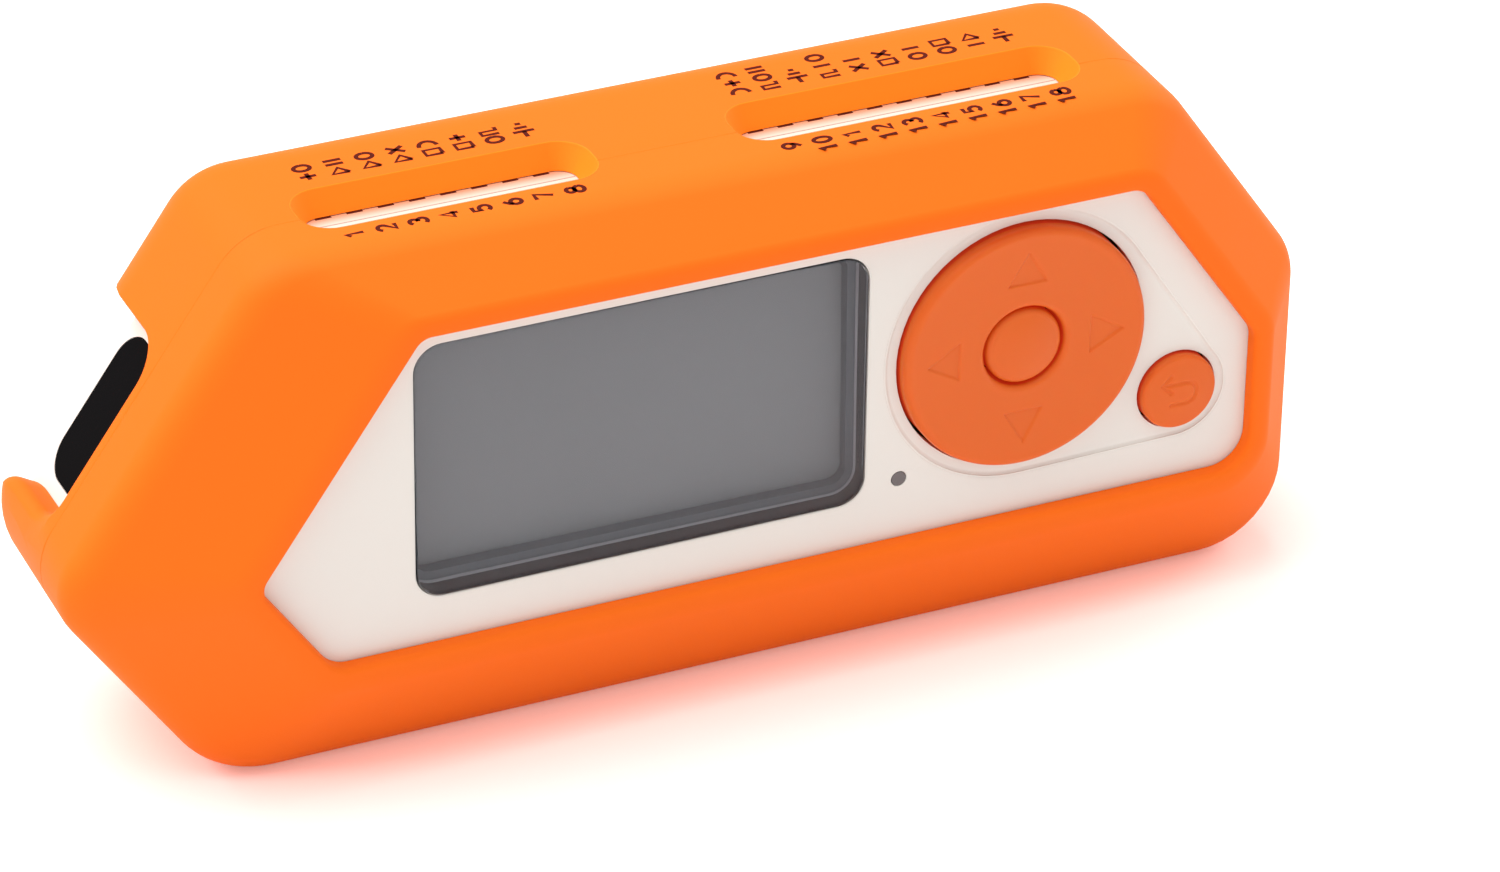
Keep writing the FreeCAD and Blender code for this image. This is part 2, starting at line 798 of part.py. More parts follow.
def buzzer():
    body = disc(buzzer_x, buzzer_z, buzzer_radius, main_back, main_back + buzzer_height)
    return body.cut(disc(buzzer_x, buzzer_z, buzzer_port, main_back + buzzer_height / 2, main_back + buzzer_height))


def vibration_motor():
    body = disc(motor_x, motor_z, motor_radius, main_back, main_back + motor_height)
    return body.makeChamfer(motor_height / 8, [edge for edge in body.Edges if edge.BoundBox.YLength < motor_height / 2])


def battery():
    cell = rounded_block(battery_x, battery_z, battery_length, battery_height, battery_radius, battery_front,
                         battery_back)
    rims = [edge for edge in cell.Edges if edge.BoundBox.YLength < battery_wall / 2]
    return cell.makeFillet(battery_radius / 2, rims)


def battery_pad():
    return block(battery_x, battery_z, battery_length - 2 * battery_pad_margin,
                 battery_height - 2 * battery_pad_margin, battery_back, battery_back + battery_pad_wall)


def battery_connector():
    return box(socket_left, socket_left + battery_connector_length, main_back, socket_back,
               battery_z - battery_tab_width / 2, battery_z + battery_tab_width / 2)


def battery_tab():
    """Flat lead: out of the cell's end, along to the connector and down onto it."""
    middle = (battery_front + battery_back) / 2
    z0, z1 = battery_z - battery_tab_width / 2, battery_z + battery_tab_width / 2
    turn = socket_left + battery_connector_length / 2
    run = box(battery_end, turn, middle, middle + battery_tab_wall, z0, z1)
    drop = box(turn - battery_tab_wall, turn, socket_back, middle + battery_tab_wall, z0, z1)
    return merged([run, drop])


# Infrared window and what is behind it
ir_face = outline[upper_left]
ir_inner = ir_face - shell_wall
ir_flange_back = ir_inner - ir_flange_wall
ir_board_front = ir_flange_back - ir_led_length
ir_depth = (ir_window_front + ir_window_back) / 2


def ir_window():
    return merged([ir_slab(0, ir_inner, ir_face), ir_slab(ir_flange, ir_flange_back, ir_inner)])


def ir_board():
    return ir_slab(0, ir_board_front - ir_board_wall, ir_board_front)


def ir_emitter(along):
    place = slant_point(along, ir_depth)
    body = Part.makeCylinder(ir_led_radius, ir_led_length - ir_led_radius, place + slant_out(ir_board_front),
                             slant_out(1))
    dome = Part.makeSphere(ir_led_radius, place + slant_out(ir_board_front + ir_led_length - ir_led_radius))
    return merged([body, dome.cut(Part.makeCylinder(2 * ir_led_radius, 2 * ir_led_radius, place
                   + slant_out(ir_board_front + ir_led_length - ir_led_radius), slant_out(-1)))])


def ir_leds():
    first = ir_window_low + ir_led_margin + ir_led_radius
    return gathered([ir_emitter(first + ir_led_pitch * i) for i in range(3)])


def ir_receiver():
    along = ir_window_high - ir_led_margin - ir_receiver_width
    face = rounded_face(slant_point, along, along + ir_receiver_width, ir_depth - ir_receiver_depth / 2,
                        ir_depth + ir_receiver_depth / 2, ir_led_margin)
    face.translate(slant_out(ir_board_front))
    return face.extrude(slant_out(ir_receiver_wall))


pieces = {
    "silicone_sleeve": silicone_sleeve(),
    "front_cover": front_cover(),
    "back_cover": back_cover(),
    "case_screws": case_screws(),
    "screen_window": screen_window(),
    "screen_gasket": screen_gasket(),
    "lcd_panel": lcd_panel(),
    "lcd_holder": lcd_holder(),
    "lcd_flex": lcd_flex(),
    "dpad_ring": dpad_ring(),
    "dpad_cushion": dpad_cushion(),
    "ok_key": ok_key(),
    "back_key": back_key(),
    "key_switches": key_switches(),
    "pad_switch_plungers": gathered([plunger(x, z) for x, z in pad_switches]),
    "ok_switch_plunger": plunger(0, 0),
    "back_switch_plunger": plunger(back_key_x, back_key_z),
    "key_board": key_board(),
    "board_connector": board_connector(),
    "main_board": main_board(),
    "led_light_guide": led_light_guide(),
    "status_led": status_led(),
    "header_socket_left": header_socket(left_row),
    "header_socket_right": header_socket(right_row),
    "header_contacts": header_contacts(),
    "usb_socket": usb_socket(),
    "usb_tongue": usb_tongue(),
    "card_socket": card_socket(),
    "processor": processor(),
    "radio_shield": radio_shield(),
    "buzzer": buzzer(),
    "vibration_motor": vibration_motor(),
    "battery": battery(),
    "battery_pad": battery_pad(),
    "battery_tab": battery_tab(),
    "battery_connector": battery_connector(),
    "ir_window": ir_window(),
    "ir_board": ir_board(),
    "ir_leds": ir_leds(),
    "ir_receiver": ir_receiver(),
}

# The sleeve's own reach sets where the part stands
reach = pieces["silicone_sleeve"].optimalBoundingBox(False)
set_down = V(-(reach.XMin + reach.XMax) / 2, -(reach.YMin + reach.YMax) / 2, -reach.ZMin)
print("set down by", set_down, "overall", reach.XLength, reach.YLength, reach.ZLength)

os.makedirs("parts", exist_ok=True)
for name, shape in pieces.items():
    shape.translate(set_down)
    shape.exportStep(os.path.join("parts", name + ".step"))
    print(name, len(shape.Solids), shape.isValid(), round(shape.Volume, 2))
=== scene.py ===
import math

import bmesh
import bpy
from mathutils import Matrix, Vector


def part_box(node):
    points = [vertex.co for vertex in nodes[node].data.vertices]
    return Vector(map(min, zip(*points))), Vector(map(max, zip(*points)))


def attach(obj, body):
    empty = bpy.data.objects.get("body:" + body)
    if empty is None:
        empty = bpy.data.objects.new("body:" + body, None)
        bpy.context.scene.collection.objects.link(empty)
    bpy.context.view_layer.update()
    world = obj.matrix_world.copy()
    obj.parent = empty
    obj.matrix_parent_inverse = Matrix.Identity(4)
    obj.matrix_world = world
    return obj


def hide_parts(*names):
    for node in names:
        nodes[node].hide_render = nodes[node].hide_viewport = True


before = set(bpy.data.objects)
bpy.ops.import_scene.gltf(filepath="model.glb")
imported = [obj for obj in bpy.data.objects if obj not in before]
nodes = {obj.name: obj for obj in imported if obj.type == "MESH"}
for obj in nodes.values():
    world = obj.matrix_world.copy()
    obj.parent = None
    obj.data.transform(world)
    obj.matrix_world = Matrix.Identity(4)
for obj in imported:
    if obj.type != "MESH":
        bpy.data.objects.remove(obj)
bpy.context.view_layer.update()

# The drawing origin is the middle of the ring key on the white face, in millimetres.
mm = 0.001
ringLow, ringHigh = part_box("dpad_ring")
ringProud = 1.0  # how far the ring key stands out of the face
origin = Vector(((ringLow[0] + ringHigh[0]) / 2, ringLow[1] + ringProud * mm,
                 (ringLow[2] + ringHigh[2]) / 2))


def at(x, y, z):
    return origin + Vector((x, y, z)) * mm


# Materials

def linear(colour):
    # Colours are written 0 to 255, as a screen shows them.
    return [c / 255 / 12.92 if c <= 10 else ((c / 255 + 0.055) / 1.055) ** 2.4 for c in colour] + [1.0]


def buildGrainGroup():
    group = bpy.data.node_groups.new("mouldGrain", "ShaderNodeTree")
    panel = group.interface
    panel.new_socket("Colour", in_out="INPUT", socket_type="NodeSocketColor")
    for name, value in (("Grain Scale", 4000.0), ("Mottle Scale", 90.0), ("Mottle", 0.04)):
        socket = panel.new_socket(name, in_out="INPUT", socket_type="NodeSocketFloat")
        socket.default_value = value
    panel.new_socket("Colour", in_out="OUTPUT", socket_type="NodeSocketColor")
    panel.new_socket("Height", in_out="OUTPUT", socket_type="NodeSocketFloat")
    panel.new_socket("Patch", in_out="OUTPUT", socket_type="NodeSocketFloat")
    make = group.nodes.new
    link = group.links.new
    entry = make("NodeGroupInput")
    leave = make("NodeGroupOutput")
    place = make("ShaderNodeTexCoord")
    grain = make("ShaderNodeTexNoise")
    grain.inputs["Detail"].default_value = 2.0
    patch = make("ShaderNodeTexNoise")
    patch.inputs["Detail"].default_value = 3.0
    link(place.outputs["Object"], grain.inputs["Vector"])
    link(place.outputs["Object"], patch.inputs["Vector"])
    link(entry.outputs["Grain Scale"], grain.inputs["Scale"])
    link(entry.outputs["Mottle Scale"], patch.inputs["Scale"])
    # The colour is scaled by 1 + mottle * (patch - 0.5).
    span = make("ShaderNodeMath")
    span.operation = "MULTIPLY_ADD"
    span.inputs[2].default_value = 1.0
    shift = make("ShaderNodeMath")
    shift.operation = "SUBTRACT"
    shift.inputs[1].default_value = 0.5
    link(patch.outputs["Fac"], shift.inputs[0])
    link(shift.outputs[0], span.inputs[0])
    link(entry.outputs["Mottle"], span.inputs[1])
    tint = make("ShaderNodeVectorMath")
    tint.operation = "SCALE"
    link(entry.outputs["Colour"], tint.inputs[0])
    link(span.outputs[0], tint.inputs["Scale"])
    link(tint.outputs[0], leave.inputs["Colour"])
    link(grain.outputs["Fac"], leave.inputs["Height"])
    link(patch.outputs["Fac"], leave.inputs["Patch"])
    return group


grainGroup = buildGrainGroup()


def finish(name, colour, rough, bump=0.0, grain=4000.0, mottle=0.04, mottleScale=90.0, roughSpread=0.05,
           **shader):
    material = bpy.data.materials.new(name)
    material.use_nodes = True
    tree = material.node_tree
    principled = tree.nodes["Principled BSDF"]
    group = tree.nodes.new("ShaderNodeGroup")
    group.node_tree = grainGroup
    group.inputs["Colour"].default_value = linear(colour)
    group.inputs["Grain Scale"].default_value = grain
    group.inputs["Mottle Scale"].default_value = mottleScale
    group.inputs["Mottle"].default_value = mottle
    tree.links.new(group.outputs["Colour"], principled.inputs["Base Color"])
    spread = tree.nodes.new("ShaderNodeMapRange")
    spread.inputs["To Min"].default_value = max(rough - roughSpread, 0.0)
    spread.inputs["To Max"].default_value = min(rough + roughSpread, 1.0)
    tree.links.new(group.outputs["Patch"], spread.inputs["Value"])
    tree.links.new(spread.outputs["Result"], principled.inputs["Roughness"])
    if bump:
        relief = tree.nodes.new("ShaderNodeBump")
        relief.inputs["Strength"].default_value = 1.0
        relief.inputs["Distance"].default_value = bump * mm
        tree.links.new(group.outputs["Height"], relief.inputs["Height"])
        tree.links.new(relief.outputs["Normal"], principled.inputs["Normal"])
    for key, value in shader.items():
        principled.inputs[key.replace("_", " ")].default_value = value
    return material


# One finish for each material slot of the part.
finishes = {
    "orange_silicone": finish("orangeSilicone", (249, 110, 20), 0.6, bump=0.005, grain=3500.0, mottle=0.03,
                              Specular_IOR_Level=0.12),
    "white_plastic": finish("whitePlastic", (232, 227, 219), 0.5, bump=0.003, mottle=0.02,
                            Specular_IOR_Level=0.2),
    "orange_plastic": finish("orangePlastic", (225, 103, 35), 0.4, bump=0.0015, mottle=0.03,
                             Specular_IOR_Level=0.2, Subsurface_Weight=0.3,
                             Subsurface_Radius=(1.0, 0.3, 0.08), Subsurface_Scale=0.0012),
    "grey_window": finish("clearWindow", (240, 241, 243), 0.01, roughSpread=0.01, mottle=0.01,
                          Transmission_Weight=1.0, IOR=1.3, Specular_IOR_Level=0.12),
    "black_window": finish("blackWindow", (9, 7, 8), 0.12, mottle=0.1, Specular_IOR_Level=0.015),
    "display_glass": finish("displayGlass", (128, 135, 138), 0.4, mottle=0.02, mottleScale=40.0,
                            Specular_IOR_Level=0.1),
    "black_plastic": finish("blackPlastic", (24, 24, 25), 0.45, bump=0.003, mottle=0.1),
    "black_foam": finish("blackFoam", (34, 33, 34), 0.9, bump=0.03, grain=2500.0, mottle=0.15),
    "amber_film": finish("amberFilm", (176, 104, 28), 0.35, mottle=0.06),
    "green_board": finish("greenBoard", (16, 78, 44), 0.4, mottle=0.08),
    "clear_resin": finish("clearResin", (96, 91, 91), 0.25, mottle=0.04),
    "gold_contact": finish("goldContact", (212, 164, 74), 0.25, mottle=0.04, Metallic=1.0),
    "zinc_steel": finish("zincSteel", (176, 176, 174), 0.32, mottle=0.06, Metallic=1.0),
    "silver_foil": finish("silverFoil", (168, 170, 174), 0.4, bump=0.01, grain=900.0, mottle=0.06),
}
# The slot walls' finish is a paler copy of the silicone: painted light.
litSlotWallFinish = finish("slotWallPaintedLight", (255, 134, 28), 0.6, bump=0.005, grain=3500.0, mottle=0.03,
                        Specular_IOR_Level=0.12)
# The cushion under the keys is painted dark red: a painted glow of light through the orange keys, seen in
# the gaps.
padGlowFinish = finish("padFoamPaintedGlow", (104, 34, 16), 0.85, bump=0.02, grain=2500.0, mottle=0.12)
inkFinish = finish("printedInk", (84, 26, 16), 0.7, mottle=0.2, mottleScale=900.0, Specular_IOR_Level=0.05)
linerFinish = finish("windowLiner", (45, 53, 58), 0.45, mottle=0.05, Specular_IOR_Level=0.1)
# The ledge is a pale line: a painted highlight for the lit back edge of the pane. The well is painted grey,
# lighter than dark foam: painted light against the shade inside it.
ledgeHighlightFinish = finish("windowLedgePaintedHighlight", (143, 147, 152), 0.4, mottle=0.05)
litWellFinish = finish("windowWellPaintedLight", (99, 109, 115), 0.5, mottle=0.05, Specular_IOR_Level=0.1)
# Darker red with an emission: painted shade in the key gaps and a painted glow, for light through the
# plastic.
slitGlowFinish = finish("slitWallPaintedGlow", (206, 56, 14), 0.6, mottle=0.05, Emission_Color=linear((150, 42, 12)),
                    Emission_Strength=0.42)
seamFinish = finish("seamShade", (168, 146, 136), 0.6, mottle=0.1)
# The strip in the slots is painted redder and darker towards the back: painted bounce light from the orange
# wall, and painted shade.
slotBounceShade = {"near": (224, 206, 193), "far": (205, 138, 104), "low": 11.2, "high": 13.0}
slotBounceFinish = finish("slotFloorPaintedBounce", slotBounceShade["near"], 0.5, bump=0.003, mottle=0.02, Specular_IOR_Level=0.1)


def blushAcross(material, near, far, low, high):
    # Painted bounce light and shade: the colour turns redder and darker towards the orange wall behind it.
    tree = material.node_tree
    group = next(node for node in tree.nodes if node.type == "GROUP")
    place = tree.nodes.new("ShaderNodeTexCoord")
    split = tree.nodes.new("ShaderNodeSeparateXYZ")
    span = tree.nodes.new("ShaderNodeMapRange")
    span.interpolation_type = "SMOOTHSTEP"
    span.inputs["From Min"].default_value = at(0.0, low, 0.0).y
    span.inputs["From Max"].default_value = at(0.0, high, 0.0).y
    blend = tree.nodes.new("ShaderNodeMix")
    blend.data_type = "RGBA"
    blend.inputs["A"].default_value = linear(near)
    blend.inputs["B"].default_value = linear(far)
    tree.links.new(place.outputs["Object"], split.inputs["Vector"])
    tree.links.new(split.outputs["Y"], span.inputs["Value"])
    tree.links.new(span.outputs["Result"], blend.inputs["Factor"])
    tree.links.new(blend.outputs["Result"], group.inputs["Colour"])


blushAcross(slotBounceFinish, **slotBounceShade)

slotNodes = {
    "orange_silicone": ["silicone_sleeve"],
    "white_plastic": ["front_cover", "back_cover"],
    "orange_plastic": ["dpad_ring", "ok_key", "back_key"],
    "grey_window": ["screen_window"],
    "black_window": ["ir_window"],
    "display_glass": ["lcd_panel"],
    "black_plastic": ["lcd_holder", "board_connector", "header_socket_left", "header_socket_right",
                      "usb_tongue", "processor", "buzzer", "battery_connector", "ir_receiver",
                      "key_switches", "pad_switch_plungers", "ok_switch_plunger", "back_switch_plunger"],
    "black_foam": ["screen_gasket", "dpad_cushion", "battery_pad"],
    "amber_film": ["lcd_flex", "battery_tab"],
    "green_board": ["key_board", "main_board", "ir_board"],
    "clear_resin": ["led_light_guide", "status_led", "ir_leds"],
    "gold_contact": ["header_contacts"],
    "zinc_steel": ["case_screws", "usb_socket", "card_socket", "radio_shield", "vibration_motor"],
    "silver_foil": ["battery"],
}


def paintNode(node, material):
    if not node.material_slots:
        node.data.materials.append(None)
    for holder in node.material_slots:
        holder.link = "OBJECT"
        holder.material = material


for slotName, names in slotNodes.items():
    for name in names:
        paintNode(nodes[name], finishes[slotName])
unpainted = set(nodes) - {n for names in slotNodes.values() for n in names}
paintNode(nodes["dpad_cushion"], padGlowFinish)
# The gasket takes the well's finish, painted lighter than its foam: painted light.
paintNode(nodes["screen_gasket"], litWellFinish)
print("materials on", len(nodes), "nodes, without one:", sorted(unpainted))


# Mesh helpers

def addObject(name, data):
    made = bpy.data.objects.new(name, data)
    bpy.context.scene.collection.objects.link(made)
    return made


def smooth(mesh, sharp):
    mesh.polygons.foreach_set("use_smooth", [True] * len(mesh.polygons))
    mesh.set_sharp_from_angle(angle=math.radians(sharp))
    mesh.update()


def makePiece(name, points, faces, materials, picks=None, sharp=32.0):
    mesh = bpy.data.meshes.new(name)
    mesh.from_pydata([at(*p) for p in points], [], faces)
    for material in materials:
        mesh.materials.append(material)
    if picks:
        mesh.polygons.foreach_set("material_index", picks)
    work = bmesh.new()
    work.from_mesh(mesh)
    bmesh.ops.recalc_face_normals(work, faces=work.faces)
    work.to_mesh(mesh)
    work.free()
    smooth(mesh, sharp)
    return addObject(name, mesh)


def plainMesh(source, name):
    bpy.context.view_layer.update()
    graph = bpy.context.evaluated_depsgraph_get()
    mesh = bpy.data.meshes.new_from_object(source.evaluated_get(graph))
    mesh.name = name
    return mesh


def stitch(rings, capped=True):
    # Bands from ring to ring, then a cap at each end or a band that joins the ends.
    count = len(rings[0])
    last = (len(rings) - 1) * count
    points = [p for ring in rings for p in ring]
    faces = []
    for start in range(0, last, count):
        for j in range(count):
            k = (j + 1) % count
            faces.append((start + j, start + k, start + count + k, start + count + j))
    if capped:
        faces.append(tuple(range(count)))
        faces.append(tuple(range(last, last + count)))
    else:
        faces += [(last + j, last + (j + 1) % count, (j + 1) % count, j) for j in range(count)]
    return points, faces


def hand(piece, body, slotName, *replaced):
    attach(piece, body)
    if replaced:
        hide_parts(*replaced)


def grown(values, by):
    return [v + by for v in values]


def softStep(low, high, value):
    t = max(0.0, min(1.0, (value - low) / (high - low)))
    return t * t * (3 - 2 * t)


mostRound = 0.999  # of half a side, so that no side shrinks to nothing


def roundedRect(halfWidth, halfDepth, radius, arcSteps=8):
    radius = min(radius, halfWidth * mostRound, halfDepth * mostRound)
    across, along = halfWidth - radius, halfDepth - radius
    corners = ((across, along, 0), (-across, along, 90), (-across, -along, 180), (across, -along, 270))
    ring = []
    for cx, cy, start in corners:
        for i in range(arcSteps + 1):
            a = math.radians(start + 90 * i / arcSteps)
            ring.append((cx + radius * math.cos(a), cy + radius * math.sin(a)))
    return ring


# Sleeve: a moulded skin with a rounded lip round the face, bevels front and back, and room for the casing.
# Its six sides are listed from the right one, turning over the top.
topSide, slantSide, bottomSide = 2, 3, 5
sleeve = {
    "angles": [0, 35, 90, 145, 215, 270],
    "casing": [24.1, 19.684, 15.9, 57.036, 66.328, 24.2],
    "casingRadii": [3.0, 4.0, 4.0, 3.0, 6.0, 5.0],
    "walls": [2.1, 2.1, 2.1, 3.0, 2.5, 2.1],
    "cornerGain": 2.1, "tipCorner": 3, "tipRadius": 7.6, "sideShare": 0.95,
    "window": [20.1, 14.784, 12.2, 48.336, 56.028, 15.1],
    "windowRadii": [2.0, 2.0, 1.5, 1.5, 2.5, 3.0],
    "lipFront": -1.4, "lipLand": 1.5, "lipRound": 0.55, "seat": 1.3,
    "wallFront": 4.0, "wallBack": 21.3, "back": 27.7, "backBevel": 6.5,
    "fit": 0.1, "roomFront": 4.9, "roomBack": 20.6, "roomEnd": 25.7, "roomBevel": 5.0,
    "reaches": {"lip": 0.9, "front": 1.8, "rear": 2.5, "backEdge": 2.0},
    "partingDepth": 9.7, "partingHalf": 0.08, "partingGroove": 0.045,
    "arcSteps": 10, "sideSteps": [8, 10, 40, 20, 16, 44], "creaseSteps": 8, "spanLength": 2.6,
    "sharp": 30.0,
}


def bodyRing(offsets, radii):
    angles = [math.radians(a) for a in sleeve["angles"]]
    count = len(angles)

    def corner(i, inset):
        a, b = angles[i], angles[(i + 1) % count]
        p, q = offsets[i] - inset, offsets[(i + 1) % count] - inset
        det = math.sin(b - a)
        return ((p * math.sin(b) - q * math.sin(a)) / det, (q * math.cos(a) - p * math.cos(b)) / det)

    sharp = [corner(i, 0.0) for i in range(count)]
    turn = [(angles[(i + 1) % count] - angles[i]) % (2 * math.pi) for i in range(count)]
    fitted = list(radii)
    # Two roundings that would meet on a short side both shrink.
    for i in range(count):
        before = i - 1
        room = sleeve["sideShare"] * math.dist(sharp[before], sharp[i])
        used = fitted[before] * math.tan(turn[before] / 2) + fitted[i] * math.tan(turn[i] / 2)
        if used > room:
            fitted[before] *= room / used
            fitted[i] *= room / used
    steps = sleeve["arcSteps"]
    arcs = []
    for i in range(count):
        cx, cz = corner(i, fitted[i])
        bend = []
        for s in range(steps + 1):
            a = angles[i] + turn[i] * s / steps
            bend.append((cx + fitted[i] * math.cos(a), cz + fitted[i] * math.sin(a)))
        arcs.append(bend)
    ring = []
    for i in range(count):
        ring += arcs[i]
        start, end = arcs[i][-1], arcs[(i + 1) % count][0]
        steps = sleeve["sideSteps"][(i + 1) % count]
        ring += [(start[0] + (end[0] - start[0]) * s / steps, start[1] + (end[1] - start[1]) * s / steps)
                 for s in range(1, steps)]
    return ring


def sleeveStations():
    s = sleeve
    reaches, window, land = s["reaches"], s["window"], s["lipLand"]
    wide = [a + b for a, b in zip(s["casing"], s["walls"])]
    wideRadii = grown(s["casingRadii"], s["cornerGain"])
    rearRadii = [s["tipRadius"] if i == s["tipCorner"] else r for i, r in enumerate(wideRadii)]
    flat = [r / 2 for r in rearRadii]
    room = grown(s["casing"], s["fit"])
    roomFlat = [r / 2 for r in s["casingRadii"]]
    share = (s["wallBack"] - s["partingDepth"]) / (s["wallBack"] - s["wallFront"])
    midRadii = [a + (b - a) * share for a, b in zip(rearRadii, wideRadii)]
    # Each row: depth, side offsets, corner radii, reach of the rounding at this crease.
    return [
        (s["back"], grown(wide, -2 * s["backBevel"]), flat, 0.0),
        (s["back"], grown(wide, -s["backBevel"]), flat, reaches["backEdge"]),
        (s["wallBack"], wide, rearRadii, reaches["rear"]),
        (s["partingDepth"] + s["partingHalf"], wide, midRadii, 0.0),
        (s["partingDepth"], grown(wide, -s["partingGroove"]), midRadii, 0.0),
        (s["partingDepth"] - s["partingHalf"], wide, midRadii, 0.0),
        (s["wallFront"], wide, wideRadii, reaches["front"]),
        (s["lipFront"], grown(window, land), grown(s["windowRadii"], land), reaches["lip"]),
        (s["lipFront"], window, s["windowRadii"], s["lipRound"]),
        (-s["fit"], window, s["windowRadii"], 0.0),
        (-s["fit"], grown(window, s["seat"]), grown(s["windowRadii"], s["seat"]), 0.0),
        (s["roomFront"], room, s["casingRadii"], 0.0),
        (s["roomBack"], room, s["casingRadii"], 0.0),
        (s["roomEnd"], grown(room, -s["roomBevel"]), roomFlat, 0.0),
        (s["roomEnd"], grown(room, -2 * s["roomBevel"]), roomFlat, 0.0),
    ]


def blendStation(a, b, t):
    return (a[0] + (b[0] - a[0]) * t, [p + (q - p) * t for p, q in zip(a[1], b[1])],
            [p + (q - p) * t for p, q in zip(a[2], b[2])])


def stationGap(a, b):
    return math.hypot(b[0] - a[0], sum(abs(q - p) for p, q in zip(a[1], b[1])) / len(a[1]))


def softenStations(rows, creaseSteps, spanLength):
    soft = [rows[0][:3]]
    for i in range(1, len(rows)):
        here = rows[i]
        lead = here
        if i < len(rows) - 1 and here[3] > 0:
            lead = blendStation(here, rows[i - 1], here[3] / stationGap(here, rows[i - 1]))
        last = soft[-1]
        pieces = max(1, round(stationGap(last, lead) / spanLength))
        soft += [blendStation(last, lead, k / pieces) for k in range(1, pieces + 1)]
        if lead is not here:
            tail = blendStation(here, rows[i + 1], here[3] / stationGap(here, rows[i + 1]))
            for k in range(1, creaseSteps + 1):
                t = k / creaseSteps
                soft.append(blendStation(blendStation(lead, here, t), blendStation(here, tail, t), t))
    return soft


# Edge of an opening: a straight flare, then an arc that runs out over the surface.
openingEdge = {"under": 0.8, "endAngle": 76.0, "arcSteps": 6}


def rimProfile(wall, flare, radius, reach, under=openingEdge["under"]):
    lean = math.atan2(flare, wall)
    end = math.radians(openingEdge["endAngle"])
    steps = openingEdge["arcSteps"]
    rise = radius * (math.sin(end) - math.sin(lean))
    start = wall - rise
    rows = [(-under, 0.0), (0.0, 0.0), (start, flare * start / wall)]
    for k in range(1, steps + 1):
        a = lean + (end - lean) * k / steps
        rows.append((start + radius * (math.sin(a) - math.sin(lean)),
                     flare * start / wall + radius * (math.cos(lean) - math.cos(a))))
    high, wide = rows[-1]
    rows.append((high + reach, wide + reach * math.tan(end)))
    return rows


pinSlots = {
    "spans": [(-54.8, -32.82), (-19.08, 7.98)], "depth": 10.7, "width": 4.2, "radius": 1.5,
    "flare": 1.1, "rim": 0.16, "reach": 0.5, "wallTilt": 0.9,
}


def slotCutter(name, low, high):
    c = pinSlots
    rings = []
    for height, grow in rimProfile(sleeve["walls"][topSide], c["flare"], c["rim"], c["reach"]):
        outline = roundedRect((high - low) / 2 + grow, c["width"] / 2 + grow, c["radius"] + grow)
        rings.append([((low + high) / 2 + u, c["depth"] + v, sleeve["casing"][topSide] + height)
                      for u, v in outline])
    return makePiece(name, *stitch(rings), [])


# Notch: runs out through the back of the slanted side and leaves a hook at the left tip.
notch = {
    "low": -47.2, "high": -31.5, "front": 11.0, "back": 30.7, "radius": 3.0, "lean": 35.0,
    "flare": 0.25, "rim": 1.5, "reach": 0.6, "under": 6.7, "over": 12.0, "frontShare": 0.35,
    "flatEnd": -46.1, "tipShare": 0.95, "easeShare": 0.8,
    "hookFrom": 17.8, "hookRadius": 7.0, "hookTurn": 62.0,
    "cornerSteps": 10, "sideSteps": 12, "hookSteps": 12, "tailSteps": 6,
}


def notchRing(grow):
    c = notch
    some = grow * c["frontShare"]
    low, high, front, back = c["low"] - grow, c["high"] + some, c["front"] - some, c["back"]
    radius = c["radius"] + some
    ring = []
    for start, along in ((180, low + radius), (270, high - radius)):
        for i in range(c["cornerSteps"] + 1):
            a = math.radians(start + 90 * i / c["cornerSteps"])
            ring.append((along + radius * math.cos(a), front + radius + radius * math.sin(a)))
    for i in range(1, c["sideSteps"] + 1):
        ring.append((high, front + radius + (back - front - radius) * i / c["sideSteps"]))
    # The lower end rounds away towards the back and leaves a blunt hook.
    hook = []
    for i in range(c["hookSteps"] + 1):
        a = math.radians(c["hookTurn"] * i / c["hookSteps"])
        hook.append((low - c["hookRadius"] * (1 - math.cos(a)),
                     c["hookFrom"] + c["hookRadius"] * math.sin(a)))
    last = math.radians(c["hookTurn"])
    endAlong, endDepth = hook[-1]
    run = (back - endDepth) / math.cos(last)
    for i in range(1, c["tailSteps"] + 1):
        hook.append((endAlong - run * math.sin(last) * i / c["tailSteps"],
                     endDepth + (back - endDepth) * i / c["tailSteps"]))
    return ring + hook[::-1]


def surfaceDrop(along, y):
    s = sleeve
    slope = s["backBevel"] / (s["back"] - s["wallBack"])
    start = s["wallBack"] - s["reaches"]["rear"] * notch["easeShare"]
    past = max(0.0, y - start)
    ease = 2 * (s["wallBack"] - start)
    drop = slope * (past * past / (2 * ease) if past < ease else past - ease / 2)
    # Below the flat of this side the left tip of the sleeve rounds away.
    beyond = min(max(0.0, notch["flatEnd"] - along), notch["tipShare"] * s["tipRadius"])
    drop += s["tipRadius"] - math.sqrt(s["tipRadius"] ** 2 - beyond ** 2)
    return min(drop, s["backBevel"])


def notchCutter(name):
    c = notch
    lean = math.radians(c["lean"])
    rows = rimProfile(sleeve["walls"][slantSide], c["flare"], c["rim"], c["reach"], c["under"])
    rows.append((c["over"], rows[-1][1]))
    rings = []
    for i, (height, grow) in enumerate(rows):
        ring = []
        for along, y in notchRing(grow):
            # Between its flat ends the cutter follows the fall of the sleeve's surface.
            out = sleeve["casing"][slantSide] + height
            if 0 < i < len(rows) - 1:
                out -= surfaceDrop(along, y)
            ring.append((math.sin(lean) * along - math.cos(lean) * out, y,
                         math.cos(lean) * along + math.sin(lean) * out))
        rings.append(ring)
    return makePiece(name, *stitch(rings), [])


